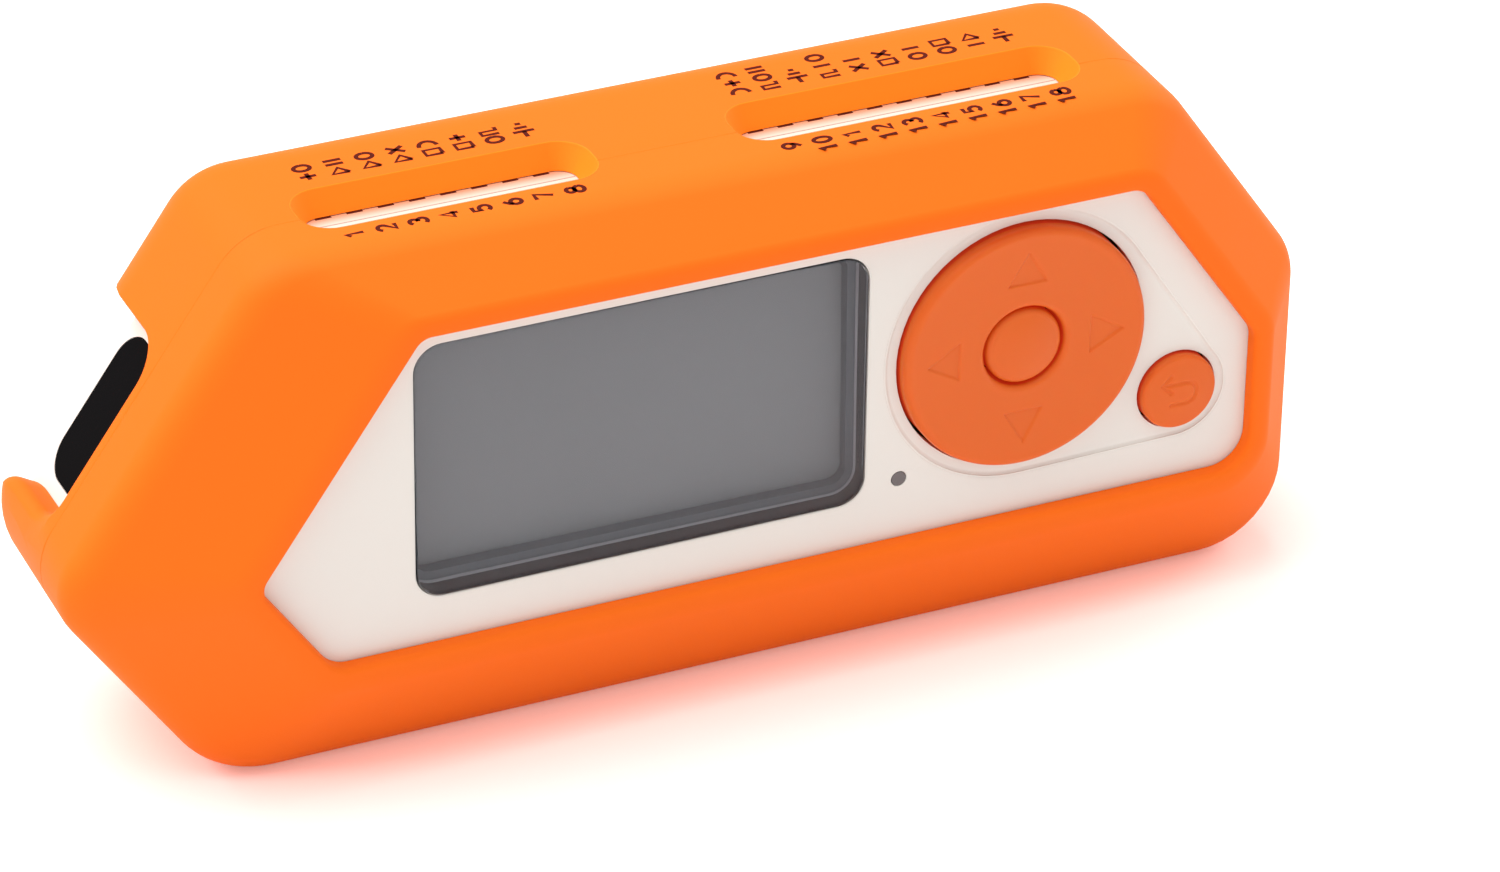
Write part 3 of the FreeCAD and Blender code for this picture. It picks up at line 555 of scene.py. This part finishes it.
# Underside: the charging opening and the card opening.
underside = {
    "openings": [{"x": -6.0, "y": 10.76, "width": 13.4, "depth": 7.2},
                 {"x": -27.0, "y": 9.88, "width": 15.4, "depth": 5.2}],
    "radius": 2.4, "flare": 0.15, "rim": 0.5, "reach": 0.5,
}


def undersideCutter(name, opening):
    c = underside
    rings = []
    for height, grow in rimProfile(sleeve["walls"][bottomSide], c["flare"], c["rim"], c["reach"]):
        outline = roundedRect(opening["width"] / 2 + grow, opening["depth"] / 2 + grow, c["radius"] + grow)
        rings.append([(opening["x"] + u, opening["y"] + v, -sleeve["casing"][bottomSide] - height)
                      for u, v in outline])
    return makePiece(name, *stitch(rings), [])


def sleeveCutters():
    made = [slotCutter("slotCutter%d" % n, *span) for n, span in enumerate(pinSlots["spans"])]
    made.append(notchCutter("notchCutter"))
    made += [undersideCutter("undersideCutter%d" % n, c) for n, c in enumerate(underside["openings"])]
    return made


evenShading = {"mode": "FACE_AREA", "weight": 60}


def carve(name, blank, tools, materials, sharp):
    for tool in tools:
        cut = blank.modifiers.new(tool.name, "BOOLEAN")
        cut.operation = "DIFFERENCE"
        cut.solver = "EXACT"
        cut.object = tool
    mesh = plainMesh(blank, name)
    mesh.materials.clear()
    for material in materials:
        mesh.materials.append(material)
    mesh.polygons.foreach_set("material_index", [0] * len(mesh.polygons))
    smooth(mesh, sharp)
    draft = addObject(name + "Draft", mesh)
    # Large flat faces keep their own shading beside the small rim faces.
    even = draft.modifiers.new("evenShading", "WEIGHTED_NORMAL")
    even.mode = evenShading["mode"]
    even.weight = evenShading["weight"]
    even.keep_sharp = True
    piece = addObject(name, plainMesh(draft, name))
    for old in [blank, draft] + tools:
        bpy.data.objects.remove(old)
    print(name, len(piece.data.polygons), "faces")
    return piece


def paintSlotWalls(piece):
    # The slot walls take a paler copy of the silicone: painted light, for the light the thin walls pass on.
    slots = pinSlots
    lap = slots["flare"] + slots["rim"]
    reach = slots["width"] / 2 + lap
    floor = sleeve["casing"][topSide]
    top = floor + sleeve["walls"][topSide]
    for low, high in slots["spans"]:
        near = at(low - lap, slots["depth"] - reach, floor)
        far = at(high + lap, slots["depth"] + reach, top)
        for polygon in piece.data.polygons:
            within = all(a < b < c for a, b, c in zip(near, polygon.center, far))
            if within and abs(polygon.normal.z) < slots["wallTilt"]:
                polygon.material_index = 1


def buildSleeve():
    soft = softenStations(sleeveStations(), sleeve["creaseSteps"], sleeve["spanLength"])
    rings = [[(x, y, z) for x, z in bodyRing(offsets, radii)] for y, offsets, radii in soft]
    silicone = finishes["orange_silicone"]
    blank = makePiece("sleeveBlank", *stitch(rings), [silicone])
    piece = carve("siliconeSkin", blank, sleeveCutters(), [silicone, litSlotWallFinish], sleeve["sharp"])
    paintSlotWalls(piece)
    hand(piece, "case", "orange_silicone", "silicone_sleeve")


buildSleeve()


# Screen opening, shared by the face and the pane.
screenOpening = {"low": (-50.82, -11.22), "high": (-13.22, 10.88), "radius": 2.3}
sideKeyPlace = (13.96, -7.31)

# Face: the white front skin with eased edges round its openings and a soft hollow round the keys.
face = {
    "front": -0.03, "back": 0.42, "under": 1.0, "sharp": 40.0,
    "rimFlare": 0.01, "rimReach": 0.2, "screenRim": 0.14, "keyRim": 0.12, "ledRim": 0.06,
    "padHole": 10.7, "sideHole": 3.45, "led": (-10.3, -9.85), "ledHole": 0.66,
    "screenSteps": 12, "padSteps": 160, "sideSteps": 96, "ledSteps": 40,
    "hollow": 0.225, "hollowOver": 1.1, "hollowEdge": 0.3, "hollowSteps": 8, "hollowTurns": 72,
    "padMargin": 1.0, "sideMargin": 0.7,
}


def openingRing(grow, arcSteps):
    (left, bottom), (right, top) = screenOpening["low"], screenOpening["high"]
    outline = roundedRect((right - left) / 2 + grow, (top - bottom) / 2 + grow,
                          screenOpening["radius"] + grow, arcSteps)
    return [((left + right) / 2 + u, (bottom + top) / 2 + v) for u, v in outline]


def circleRing(x, z, radius, steps):
    return [(x + radius * math.cos(2 * math.pi * i / steps), z + radius * math.sin(2 * math.pi * i / steps))
            for i in range(steps)]


def hollowRing(grow):
    f = face
    x, z = sideKeyPlace
    big = f["padHole"] + f["padMargin"] + grow
    small = f["sideHole"] + f["sideMargin"] + grow
    aim = math.atan2(z, x)
    lean = math.acos((big - small) / math.hypot(x, z))
    steps, fewer = f["hollowTurns"], f["hollowTurns"] // 2
    ring = []
    for i in range(steps + 1):
        a = aim + lean + (2 * math.pi - 2 * lean) * i / steps
        ring.append((big * math.cos(a), big * math.sin(a)))
    for i in range(fewer + 1):
        a = aim - lean + 2 * lean * i / fewer
        ring.append((x + small * math.cos(a), z + small * math.sin(a)))
    return ring


def faceCutter(name, ringOf, rim):
    wall = face["back"] - face["front"]
    rings = []
    for height, grow in rimProfile(wall, face["rimFlare"], rim, face["rimReach"]):
        rings.append([(x, face["back"] - height, z) for x, z in ringOf(grow)])
    return makePiece(name, *stitch(rings), [])


def hollowCutter(name):
    f = face
    rings = []
    for i in range(f["hollowSteps"] + 1):
        share = i / f["hollowSteps"]
        y = f["front"] + f["hollow"] * (1 - f["hollowOver"] * softStep(0.0, 1.0, share))
        rings.append([(x, y, z) for x, z in hollowRing(f["hollowEdge"] * (2 * share - 1))])
    return makePiece(name, *stitch(rings), [])


def buildFace():
    f = face
    outer = bodyRing(grown(sleeve["window"], f["under"]), grown(sleeve["windowRadii"], f["under"]))
    rings = [[(x, y, z) for x, z in outer] for y in (f["back"], f["front"])]
    blank = makePiece("faceBlank", *stitch(rings), [finishes["white_plastic"]])

    def hole(name, place, radius, steps, rim):
        return faceCutter(name, lambda grow: circleRing(*place, radius + grow, steps), rim)

    tools = [
        hollowCutter("hollowCutter"),
        faceCutter("screenCutter", lambda grow: openingRing(grow, f["screenSteps"]), f["screenRim"]),
        hole("padCutter", (0.0, 0.0), f["padHole"], f["padSteps"], f["keyRim"]),
        hole("sideCutter", sideKeyPlace, f["sideHole"], f["sideSteps"], f["keyRim"]),
        hole("ledCutter", f["led"], f["ledHole"], f["ledSteps"], f["ledRim"]),
    ]
    piece = carve("whiteFace", blank, tools, [finishes["white_plastic"]], f["sharp"])
    hand(piece, "case", "white_plastic")


buildFace()


# Keys: turned meshes whose engraved marks are pressed into the surface.
keySharp = 50.0
ringKey = {
    "radius": 10.45, "hole": 3.5, "proud": 1.0, "dish": 0.3, "dishCurve": 1.6, "rim": 0.6, "holeRim": 0.45,
    "inside": 2.4, "slitFrom": 0.05, "faceSteps": 90, "turnSteps": 500, "rimSteps": 8, "holeRimSteps": 6,
    "markTip": 8.45, "markBase": 5.65, "markHalf": 1.65, "markEdge": 0.08, "markDepth": 0.15,
}
centreKey = {
    "radius": 3.25, "proud": 1.05, "dome": 0.45, "rim": 0.5, "inside": 2.6, "slitFrom": -0.05,
    "pole": 0.15, "faceSteps": 24, "turnSteps": 128, "rimSteps": 8,
}
sideKey = {
    "radius": 3.25, "proud": 0.8, "dome": 0.25, "rim": 0.35, "inside": 2.4, "slitFrom": 0.05,
    "pole": 0.15, "faceSteps": 56, "turnSteps": 300, "rimSteps": 8, "line": 0.27, "depth": 0.12,
    "arrow": {"left": -1.6, "tail": -0.8, "bend": 0.45, "half": 0.92, "head": 0.72, "bendSteps": 10},
}


def segmentGap(px, pz, ax, az, bx, bz):
    dx, dz = bx - ax, bz - az
    t = max(0.0, min(1.0, ((px - ax) * dx + (pz - az) * dz) / (dx * dx + dz * dz)))
    return math.hypot(px - ax - t * dx, pz - az - t * dz)


def engrave(x, z, lines, halfWidth, depth):
    gap = min(segmentGap(x, z, *line) for line in lines)
    if gap >= halfWidth:
        return 0.0
    return depth * 0.5 * (1 + math.cos(math.pi * gap / halfWidth))


def quarterRound(radius, front, size, steps, outward=True):
    rows = []
    for k in range(steps + 1):
        a = math.pi / 2 * k / steps
        run = size * (1 - math.sin(a))
        rows.append((radius - run if outward else radius + run, front + size * (1 - math.cos(a)), False))
    return rows


def markDepth(x, z):
    k = ringKey
    # The four marks are alike, so the point is turned into the first quarter's mark.
    u, v = (abs(x), z) if abs(x) > abs(z) else (abs(z), x)
    slope = k["markHalf"] / (k["markTip"] - k["markBase"])
    side = ((k["markTip"] - u) * slope - abs(v)) / math.hypot(1.0, slope)
    inside = min(side, u - k["markBase"])
    return k["markDepth"] * softStep(-k["markEdge"], k["markEdge"], inside)


def turnPiece(name, place, rows, turnSteps, press, closedMiddle, glowRows):
    # Rows beside a narrow slit take a darker red finish that glows: painted gap shade, with painted light
    # coming through the plastic.
    rings = []
    for radius, y, pressed in rows:
        ring = []
        for j in range(turnSteps):
            a = 2 * math.pi * j / turnSteps
            x, z = radius * math.cos(a), radius * math.sin(a)
            ring.append((place[0] + x, y + (press(x, z) if pressed else 0.0), place[1] + z))
        rings.append(ring)
    points, faces = stitch(rings, capped=closedMiddle)
    picks = [1 if i // turnSteps in glowRows else 0 for i in range(len(faces))]
    return makePiece(name, points, faces, [finishes["orange_plastic"], slitGlowFinish], picks, sharp=keySharp)


def outerRows(k, front):
    rows = quarterRound(k["radius"], front, k["rim"], k["rimSteps"])
    return rows + [(k["radius"], k["slitFrom"], False), (k["radius"], k["inside"], False)]


def buildRingKey():
    k = ringKey
    front = -k["proud"]
    floor = front + k["dish"]
    rows = [(k["hole"], k["inside"], False)]
    rows += quarterRound(k["hole"], floor, k["holeRim"], k["holeRimSteps"], outward=False)[::-1]
    inner, outer = k["hole"] + k["holeRim"], k["radius"] - k["rim"]
    for i in range(1, k["faceSteps"]):
        share = i / k["faceSteps"]
        rows.append((inner + (outer - inner) * share, floor - k["dish"] * share ** k["dishCurve"], True))
    rows += outerRows(k, front)
    piece = turnPiece("ringKeyCap", (0.0, 0.0), rows, k["turnSteps"], markDepth, False, (0, len(rows) - 2))
    hand(piece, "ring_key", "orange_plastic", "dpad_ring")


def domeRows(k):
    front = -k["proud"]
    outer = k["radius"] - k["rim"]
    rows = []
    for i in range(k["faceSteps"]):
        share = max(i, k["pole"]) / k["faceSteps"]
        rows.append((outer * share, front + k["dome"] * share ** 2, True))
    return rows + outerRows(k, front + k["dome"])


def buildCentreKey():
    k = centreKey
    rows = domeRows(k)
    piece = turnPiece("centreKeyCap", (0.0, 0.0), rows, k["turnSteps"], lambda x, z: 0.0, True,
                      (len(rows) - 2,))
    hand(piece, "centre_key", "orange_plastic", "ok_key")


def buildSideKey():
    k = sideKey
    a = k["arrow"]
    path = [(a["left"], a["half"]), (a["bend"], a["half"])]
    for i in range(1, a["bendSteps"] + 1):
        t = math.radians(90 - 180 * i / a["bendSteps"])
        path.append((a["bend"] + a["half"] * math.cos(t), a["half"] * math.sin(t)))
    path.append((a["tail"], -a["half"]))
    lines = [p + q for p, q in zip(path, path[1:])]
    for side in (1, -1):
        lines.append((a["left"], a["half"], a["left"] + a["head"], a["half"] + side * a["head"]))
    rows = domeRows(k)
    piece = turnPiece("sideKeyCap", sideKeyPlace, rows, k["turnSteps"],
                      lambda x, z: engrave(x, z, lines, k["line"], k["depth"]), True, (len(rows) - 2,))
    hand(piece, "side_key", "orange_plastic", "back_key")


buildRingKey()
buildCentreKey()
buildSideKey()
print("keys")


# Screen: a thin clear pane over a dark stepped liner, with the display behind it. The liner's ledge carries
# a painted highlight, and its well carries painted light.
screen = {
    "gap": 0.12, "front": -0.15, "paneWall": 0.5, "paneEase": 0.12, "easeShare": 0.3, "arcSteps": 10,
    "lap": 0.02, "lean": 0.05, "floor": 3.28,
    "ledge": 2.0, "ledgeWidth": 0.16, "ledgeFall": 0.03, "ledgeDrop": 0.12,
}


def screenRing(inset, y):
    return [(x, y, z) for x, z in openingRing(-inset, screen["arcSteps"])]


def buildScreen():
    s = screen
    gap, ease, front = s["gap"], s["paneEase"], s["front"]
    some = s["easeShare"] * ease
    back = front + s["paneWall"]
    rings = [screenRing(gap + ease, back), screenRing(gap, back - ease), screenRing(gap, front + ease),
             screenRing(gap + some, front + some), screenRing(gap + ease, front)]
    pane = makePiece("screenPane", *stitch(rings), [finishes["grey_window"]])
    hand(pane, "case", "grey_window", "screen_window")
    top = back + s["lap"]
    inside = gap + s["lean"]
    ledge, width = s["ledge"], s["ledgeWidth"]
    # Each row: inset, depth, finish of the band that starts there.
    rows = [(gap - s["lap"], top, 0), (gap + s["lap"], top, 0), (inside, ledge, 1),
            (inside + width / 2, ledge + s["ledgeFall"], 1), (inside + width, ledge + s["ledgeDrop"], 2),
            (inside + width + s["lean"], s["floor"], 2), (gap - s["lap"], s["floor"], 2)]
    rings = [screenRing(inset, y) for inset, y, band in rows]
    points, faces = stitch(rings, capped=False)
    picks = [rows[i // len(rings[0])][2] for i in range(len(faces))]
    liner = makePiece("screenLiner", points, faces, [linerFinish, ledgeHighlightFinish, litWellFinish], picks)
    hand(liner, "case", "black_plastic")
    print("screen")


buildScreen()


# Print: plain numbers and general circuit signs, drawn as strokes and swept to flat ink by one node tree.
printed = {
    "top": 18.0, "thick": 0.02, "stroke": 0.37, "pitch": 2.54,
    "height": 1.4, "width": 0.98, "advance": 1.26, "numberEnd": 6.6,
    "signHeight": 1.44, "signWidth": 1.04, "signAdvance": 1.4, "signStart": 15.25,
    "dashTop": 15.94, "dashDepth": 12.82, "dashLength": 1.3,
    "rows": [{"first": -52.9, "count": 8, "number": 1}, {"first": -17.18, "count": 10, "number": 9}],
}


def arc(cx, cy, rx, ry, start, end, steps=8):
    return [(cx + rx * math.cos(math.radians(start + (end - start) * i / steps)),
             cy + ry * math.sin(math.radians(start + (end - start) * i / steps))) for i in range(steps + 1)]


# Strokes in a unit box, first across and then up.
glyphs = {
    "0": [arc(0.5, 0.5, 0.42, 0.5, 0, 360, 16)],
    "1": [[(0.2, 0.76), (0.55, 1.0), (0.55, 0.0)]],
    "2": [arc(0.5, 0.72, 0.4, 0.28, 165, -35, 8) + [(0.08, 0.0), (0.92, 0.0)]],
    "3": [arc(0.46, 0.75, 0.38, 0.25, 150, -90, 8), arc(0.46, 0.26, 0.44, 0.26, 90, -150, 9)],
    "4": [[(0.7, 0.0), (0.7, 1.0), (0.06, 0.3), (0.94, 0.3)]],
    "5": [[(0.86, 1.0), (0.2, 1.0), (0.14, 0.55)] + arc(0.46, 0.32, 0.44, 0.32, 120, -150, 9)],
    "6": [[(0.74, 1.0), (0.3, 0.72)] + arc(0.5, 0.31, 0.41, 0.31, 140, 500, 14)],
    "7": [[(0.08, 1.0), (0.92, 1.0), (0.36, 0.0)]],
    "8": [arc(0.5, 0.77, 0.38, 0.24, 0, 360, 12), arc(0.5, 0.26, 0.48, 0.28, 0, 360, 14)],
    "9": [[(0.26, 0.0), (0.7, 0.28)] + arc(0.5, 0.69, 0.41, 0.31, -40, 320, 14)],
    "plus": [[(0.0, 0.5), (1.0, 0.5)], [(0.5, 0.05), (0.5, 0.95)]],
    "bar": [[(0.5, 0.0), (0.5, 1.0)]],
    "bars": [[(0.2, 0.0), (0.2, 1.0)], [(0.8, 0.0), (0.8, 1.0)]],
    "ground": [[(0.0, 0.5), (0.9, 0.5)], [(0.9, -0.1), (0.9, 1.1)], [(1.5, 0.14), (1.5, 0.86)],
               [(2.1, 0.34), (2.1, 0.66)]],
    "square": [[(0.08, 0.04), (0.92, 0.04), (0.92, 0.96), (0.08, 0.96), (0.08, 0.04)]],
    "wedge": [[(0.08, 0.02), (0.08, 0.98), (0.95, 0.5), (0.08, 0.02)]],
    "ring": [arc(0.5, 0.5, 0.45, 0.45, 0, 360, 16)],
    "cross": [[(0.05, 0.05), (0.95, 0.95)], [(0.05, 0.95), (0.95, 0.05)]],
    "hook": [[(0.0, 0.0), (0.0, 0.95), (0.55, 0.95), (0.55, 0.05), (1.0, 0.05)]],
    "bow": [arc(0.1, 0.5, 0.75, 0.5, 90, -90, 10)],
}
# One entry for each pin, in order.
signs = [
    ("plus", "ring"), ("wedge", "bars"), ("wedge", "ring"), ("wedge", "cross"), ("square", "bow"),
    ("square", "plus"), ("ring", "hook"), ("ground",),
    ("bow", "plus", "bow"), ("hook", "ring", "bars"), ("ground",), ("hook", "bar", "ring"),
    ("cross", "bar"), ("square", "cross"), ("ring", "bar"), ("ring", "square"), ("bar", "wedge"),
    ("ground",),
]


def inkTree(name, material):
    tree = bpy.data.node_groups.new(name, "GeometryNodeTree")
    tree.interface.new_socket("Geometry", in_out="INPUT", socket_type="NodeSocketGeometry")
    for label in ("Stroke", "Thickness"):
        tree.interface.new_socket(label, in_out="INPUT", socket_type="NodeSocketFloat")
    tree.interface.new_socket("Geometry", in_out="OUTPUT", socket_type="NodeSocketGeometry")
    make = tree.nodes.new
    link = tree.links.new
    entry = make("NodeGroupInput")
    leave = make("NodeGroupOutput")
    trace = make("GeometryNodeMeshToCurve")
    upright = make("GeometryNodeSetCurveNormal")
    upright.mode = "Z_UP"
    section = make("GeometryNodeCurvePrimitiveQuadrilateral")
    sweep = make("GeometryNodeCurveToMesh")
    sweep.inputs["Fill Caps"].default_value = True
    flat = make("GeometryNodeSetShadeSmooth")
    flat.inputs["Shade Smooth"].default_value = False
    paint = make("GeometryNodeSetMaterial")
    paint.inputs["Material"].default_value = material
    real = make("GeometryNodeRealizeInstances")
    link(entry.outputs["Geometry"], trace.inputs["Mesh"])
    link(trace.outputs["Curve"], upright.inputs["Curve"])
    link(entry.outputs["Stroke"], section.inputs["Width"])
    link(entry.outputs["Thickness"], section.inputs["Height"])
    link(upright.outputs["Curve"], sweep.inputs["Curve"])
    link(section.outputs["Curve"], sweep.inputs["Profile Curve"])
    link(sweep.outputs["Mesh"], flat.inputs["Geometry"])
    link(flat.outputs["Geometry"], real.inputs["Geometry"])
    link(real.outputs["Geometry"], paint.inputs["Geometry"])
    link(paint.outputs["Geometry"], leave.inputs["Geometry"])
    return tree


def strokeSource(name, strokes):
    points, edges = [], []
    for stroke in strokes:
        start = len(points)
        points += [at(*p) for p in stroke]
        edges += [(start + i, start + i + 1) for i in range(len(stroke) - 1)]
    mesh = bpy.data.meshes.new(name)
    mesh.from_pydata(points, edges, [])
    return addObject(name, mesh)


def sweepPiece(name, strokes, tree, stroke, thick):
    source = strokeSource(name + "Lines", strokes)
    values = {"Stroke": stroke * mm, "Thickness": thick * mm}
    modifier = source.modifiers.new(tree.name, "NODES")
    modifier.node_group = tree
    for item in tree.interface.items_tree:
        if item.item_type == "SOCKET" and item.in_out == "INPUT" and item.name in values:
            modifier[item.identifier] = values[item.name]
    mesh = plainMesh(source, name)
    bpy.data.objects.remove(source)
    print(name, len(mesh.polygons), "faces")
    return addObject(name, mesh)


def glyphStrokes(name, pinX, start, z, width, height):
    return [[(pinX - (v - 0.5) * height, start + u * width, z) for u, v in line] for line in glyphs[name]]


def buildPrint():
    p = printed
    strokes, dashes = [], []
    for row in p["rows"]:
        for i in range(row["count"]):
            x = row["first"] + p["pitch"] * i
            pin = row["number"] + i
            for n, digit in enumerate(reversed(str(pin))):
                start = p["numberEnd"] - p["width"] - n * p["advance"]
                strokes += glyphStrokes(digit, x, start, p["top"], p["width"], p["height"])
            for n, sign in enumerate(signs[pin - 1]):
                start = p["signStart"] + n * p["signAdvance"]
                strokes += glyphStrokes(sign, x, start, p["top"], p["signWidth"], p["signHeight"])
            dashes.append([(x - p["dashLength"] / 2, p["dashDepth"], p["dashTop"]),
                           (x + p["dashLength"] / 2, p["dashDepth"], p["dashTop"])])
    tree = inkTree("sweptInk", inkFinish)
    for name, lines in (("printedNumbersAndSigns", strokes), ("pinDashes", dashes)):
        hand(sweepPiece(name, lines, tree, p["stroke"], p["thick"]), "case", "black_plastic")


buildPrint()


# Slot trim: a strip over the casing behind the pin holes, painted with orange bounce light and shade, and
# the fine seam between the covers.
slotTrim = {
    "low": 11.02, "high": 12.9, "lap": 0.6, "thick": 0.03,
    "seamStroke": 0.1, "seamThick": 0.02, "seamDepth": 11.5, "seamTop": 15.94,
}


def buildSlotTrim():
    c = slotTrim
    points, faces, seams = [], [], []
    for low, high in pinSlots["spans"]:
        left, right = low - c["lap"], high + c["lap"]
        outline = [(left, c["low"]), (right, c["low"]), (right, c["high"]), (left, c["high"])]
        more, sides = stitch([[(x, y, sleeve["casing"][topSide] + lift) for x, y in outline]
                              for lift in (0.0, c["thick"])])
        faces += [tuple(i + len(points) for i in side) for side in sides]
        points += more
        seams.append([(low, c["seamDepth"], c["seamTop"]), (high, c["seamDepth"], c["seamTop"])])
    hand(makePiece("slotFloorsPaintedBounce", points, faces, [slotBounceFinish]), "case", "white_plastic")
    tree = inkTree("sweptSeam", seamFinish)
    hand(sweepPiece("coverSeam", seams, tree, c["seamStroke"], c["seamThick"]), "case", "white_plastic")


buildSlotTrim()


# Stage: pale floor, white surroundings, large soft lamps.
stage = {
    "floorHalf": 3.0, "floorColour": (243, 242, 243), "floorRough": 0.9, "floorGloss": 0.0,
    "shadowLift": (174, 118, 105),
    "worldColour": (1.0, 1.0, 1.0, 1.0), "worldLight": 0.55, "worldSeen": 1.0,
    "lamps": [
        {"name": "overheadLamp", "place": (-330.0, 180.0, 720.0), "size": 1.0, "power": 10.8},
        {"name": "rightLamp", "place": (620.0, 180.0, 310.0), "size": 0.5, "power": 2.1},
        {"name": "frontLamp", "place": (40.0, -500.0, 560.0), "size": 0.8, "power": 0.5},
    ],
    "aim": (-23.0, 10.0, -3.0),
}


def seenRays(tree):
    # One for what the camera sees, directly, in gloss or through glass.
    rays = tree.nodes.new("ShaderNodeLightPath")
    seen = rays.outputs["Is Camera Ray"]
    for kind in ("Is Glossy Ray", "Is Transmission Ray"):
        either = tree.nodes.new("ShaderNodeMath")
        either.operation = "MAXIMUM"
        tree.links.new(seen, either.inputs[0])
        tree.links.new(rays.outputs[kind], either.inputs[1])
        seen = either.outputs[0]
    return seen


def buildFloor():
    half = stage["floorHalf"]
    mesh = bpy.data.meshes.new("paleFloor")
    mesh.from_pydata([(-half, -half, 0), (half, -half, 0), (half, half, 0), (-half, half, 0)], [],
                     [(0, 1, 2, 3)])
    pale = bpy.data.materials.new("paleFloor")
    pale.use_nodes = True
    sockets = pale.node_tree.nodes["Principled BSDF"].inputs
    sockets["Base Color"].default_value = linear(stage["floorColour"])
    sockets["Roughness"].default_value = stage["floorRough"]
    sockets["Specular IOR Level"].default_value = stage["floorGloss"]
    # The shadow is seen lifted to a warm pink, and only what lies behind clear glass gets light from that.
    sockets["Emission Color"].default_value = linear(stage["shadowLift"])
    pale.node_tree.links.new(seenRays(pale.node_tree), sockets["Emission Strength"])
    mesh.materials.append(pale)
    floor = addObject("paleFloor", mesh)


def buildLamps():
    for lamp in stage["lamps"]:
        light = bpy.data.lights.new(lamp["name"], "AREA")
        light.size = lamp["size"]
        light.energy = lamp["power"]
        lampObject = addObject(lamp["name"], light)
        lampObject.location = at(*lamp["place"])
        aim = at(*stage["aim"]) - lampObject.location
        lampObject.rotation_euler = aim.to_track_quat("-Z", "Y").to_euler()


def buildSurround():
    world = bpy.data.worlds.new("paleSurround")
    world.use_nodes = True
    tree = world.node_tree
    tree.nodes.clear()
    mix = tree.nodes.new("ShaderNodeMixShader")
    tree.links.new(seenRays(tree), mix.inputs["Fac"])
    for place, strength in ((1, stage["worldLight"]), (2, stage["worldSeen"])):
        shade = tree.nodes.new("ShaderNodeBackground")
        shade.inputs["Color"].default_value = stage["worldColour"]
        shade.inputs["Strength"].default_value = strength
        tree.links.new(shade.outputs[0], mix.inputs[place])
    out = tree.nodes.new("ShaderNodeOutputWorld")
    tree.links.new(mix.outputs[0], out.inputs["Surface"])
    bpy.context.scene.world = world
    bpy.context.scene.view_settings.view_transform = "Standard"


buildFloor()
buildLamps()
buildSurround()
print("stage with", len(stage["lamps"]), "lamps")


# Camera, solved from the photograph.
view = {"place": (-211.13, -408.01, 263.08), "azimuth": 24.7408, "elevation": 30.64, "roll": 0.911,
        "focal": 6799.625, "imageWidth": 1500.0, "sensor": 36.0, "clipStart": 0.01, "clipEnd": 20.0}


def buildCamera():
    az, el, roll = (math.radians(view[k]) for k in ("azimuth", "elevation", "roll"))
    ahead = Vector((math.sin(az) * math.cos(el), math.cos(az) * math.cos(el), -math.sin(el)))
    level = Vector((math.cos(az), -math.sin(az), 0.0))
    over = level.cross(ahead)
    right = level * math.cos(roll) + over * math.sin(roll)
    up = over * math.cos(roll) - level * math.sin(roll)
    data = bpy.data.cameras.new("photoCamera")
    data.sensor_fit = "HORIZONTAL"
    data.sensor_width = view["sensor"]
    data.lens = view["focal"] * view["sensor"] / view["imageWidth"]
    data.clip_start = view["clipStart"]
    data.clip_end = view["clipEnd"]
    camera = addObject("photoCamera", data)
    turn = Matrix((right, up, -ahead)).transposed()
    camera.matrix_world = Matrix.Translation(at(*view["place"])) @ turn.to_4x4()
    bpy.context.scene.camera = camera
    print("camera with a lens of", round(data.lens, 1), "mm")


buildCamera()
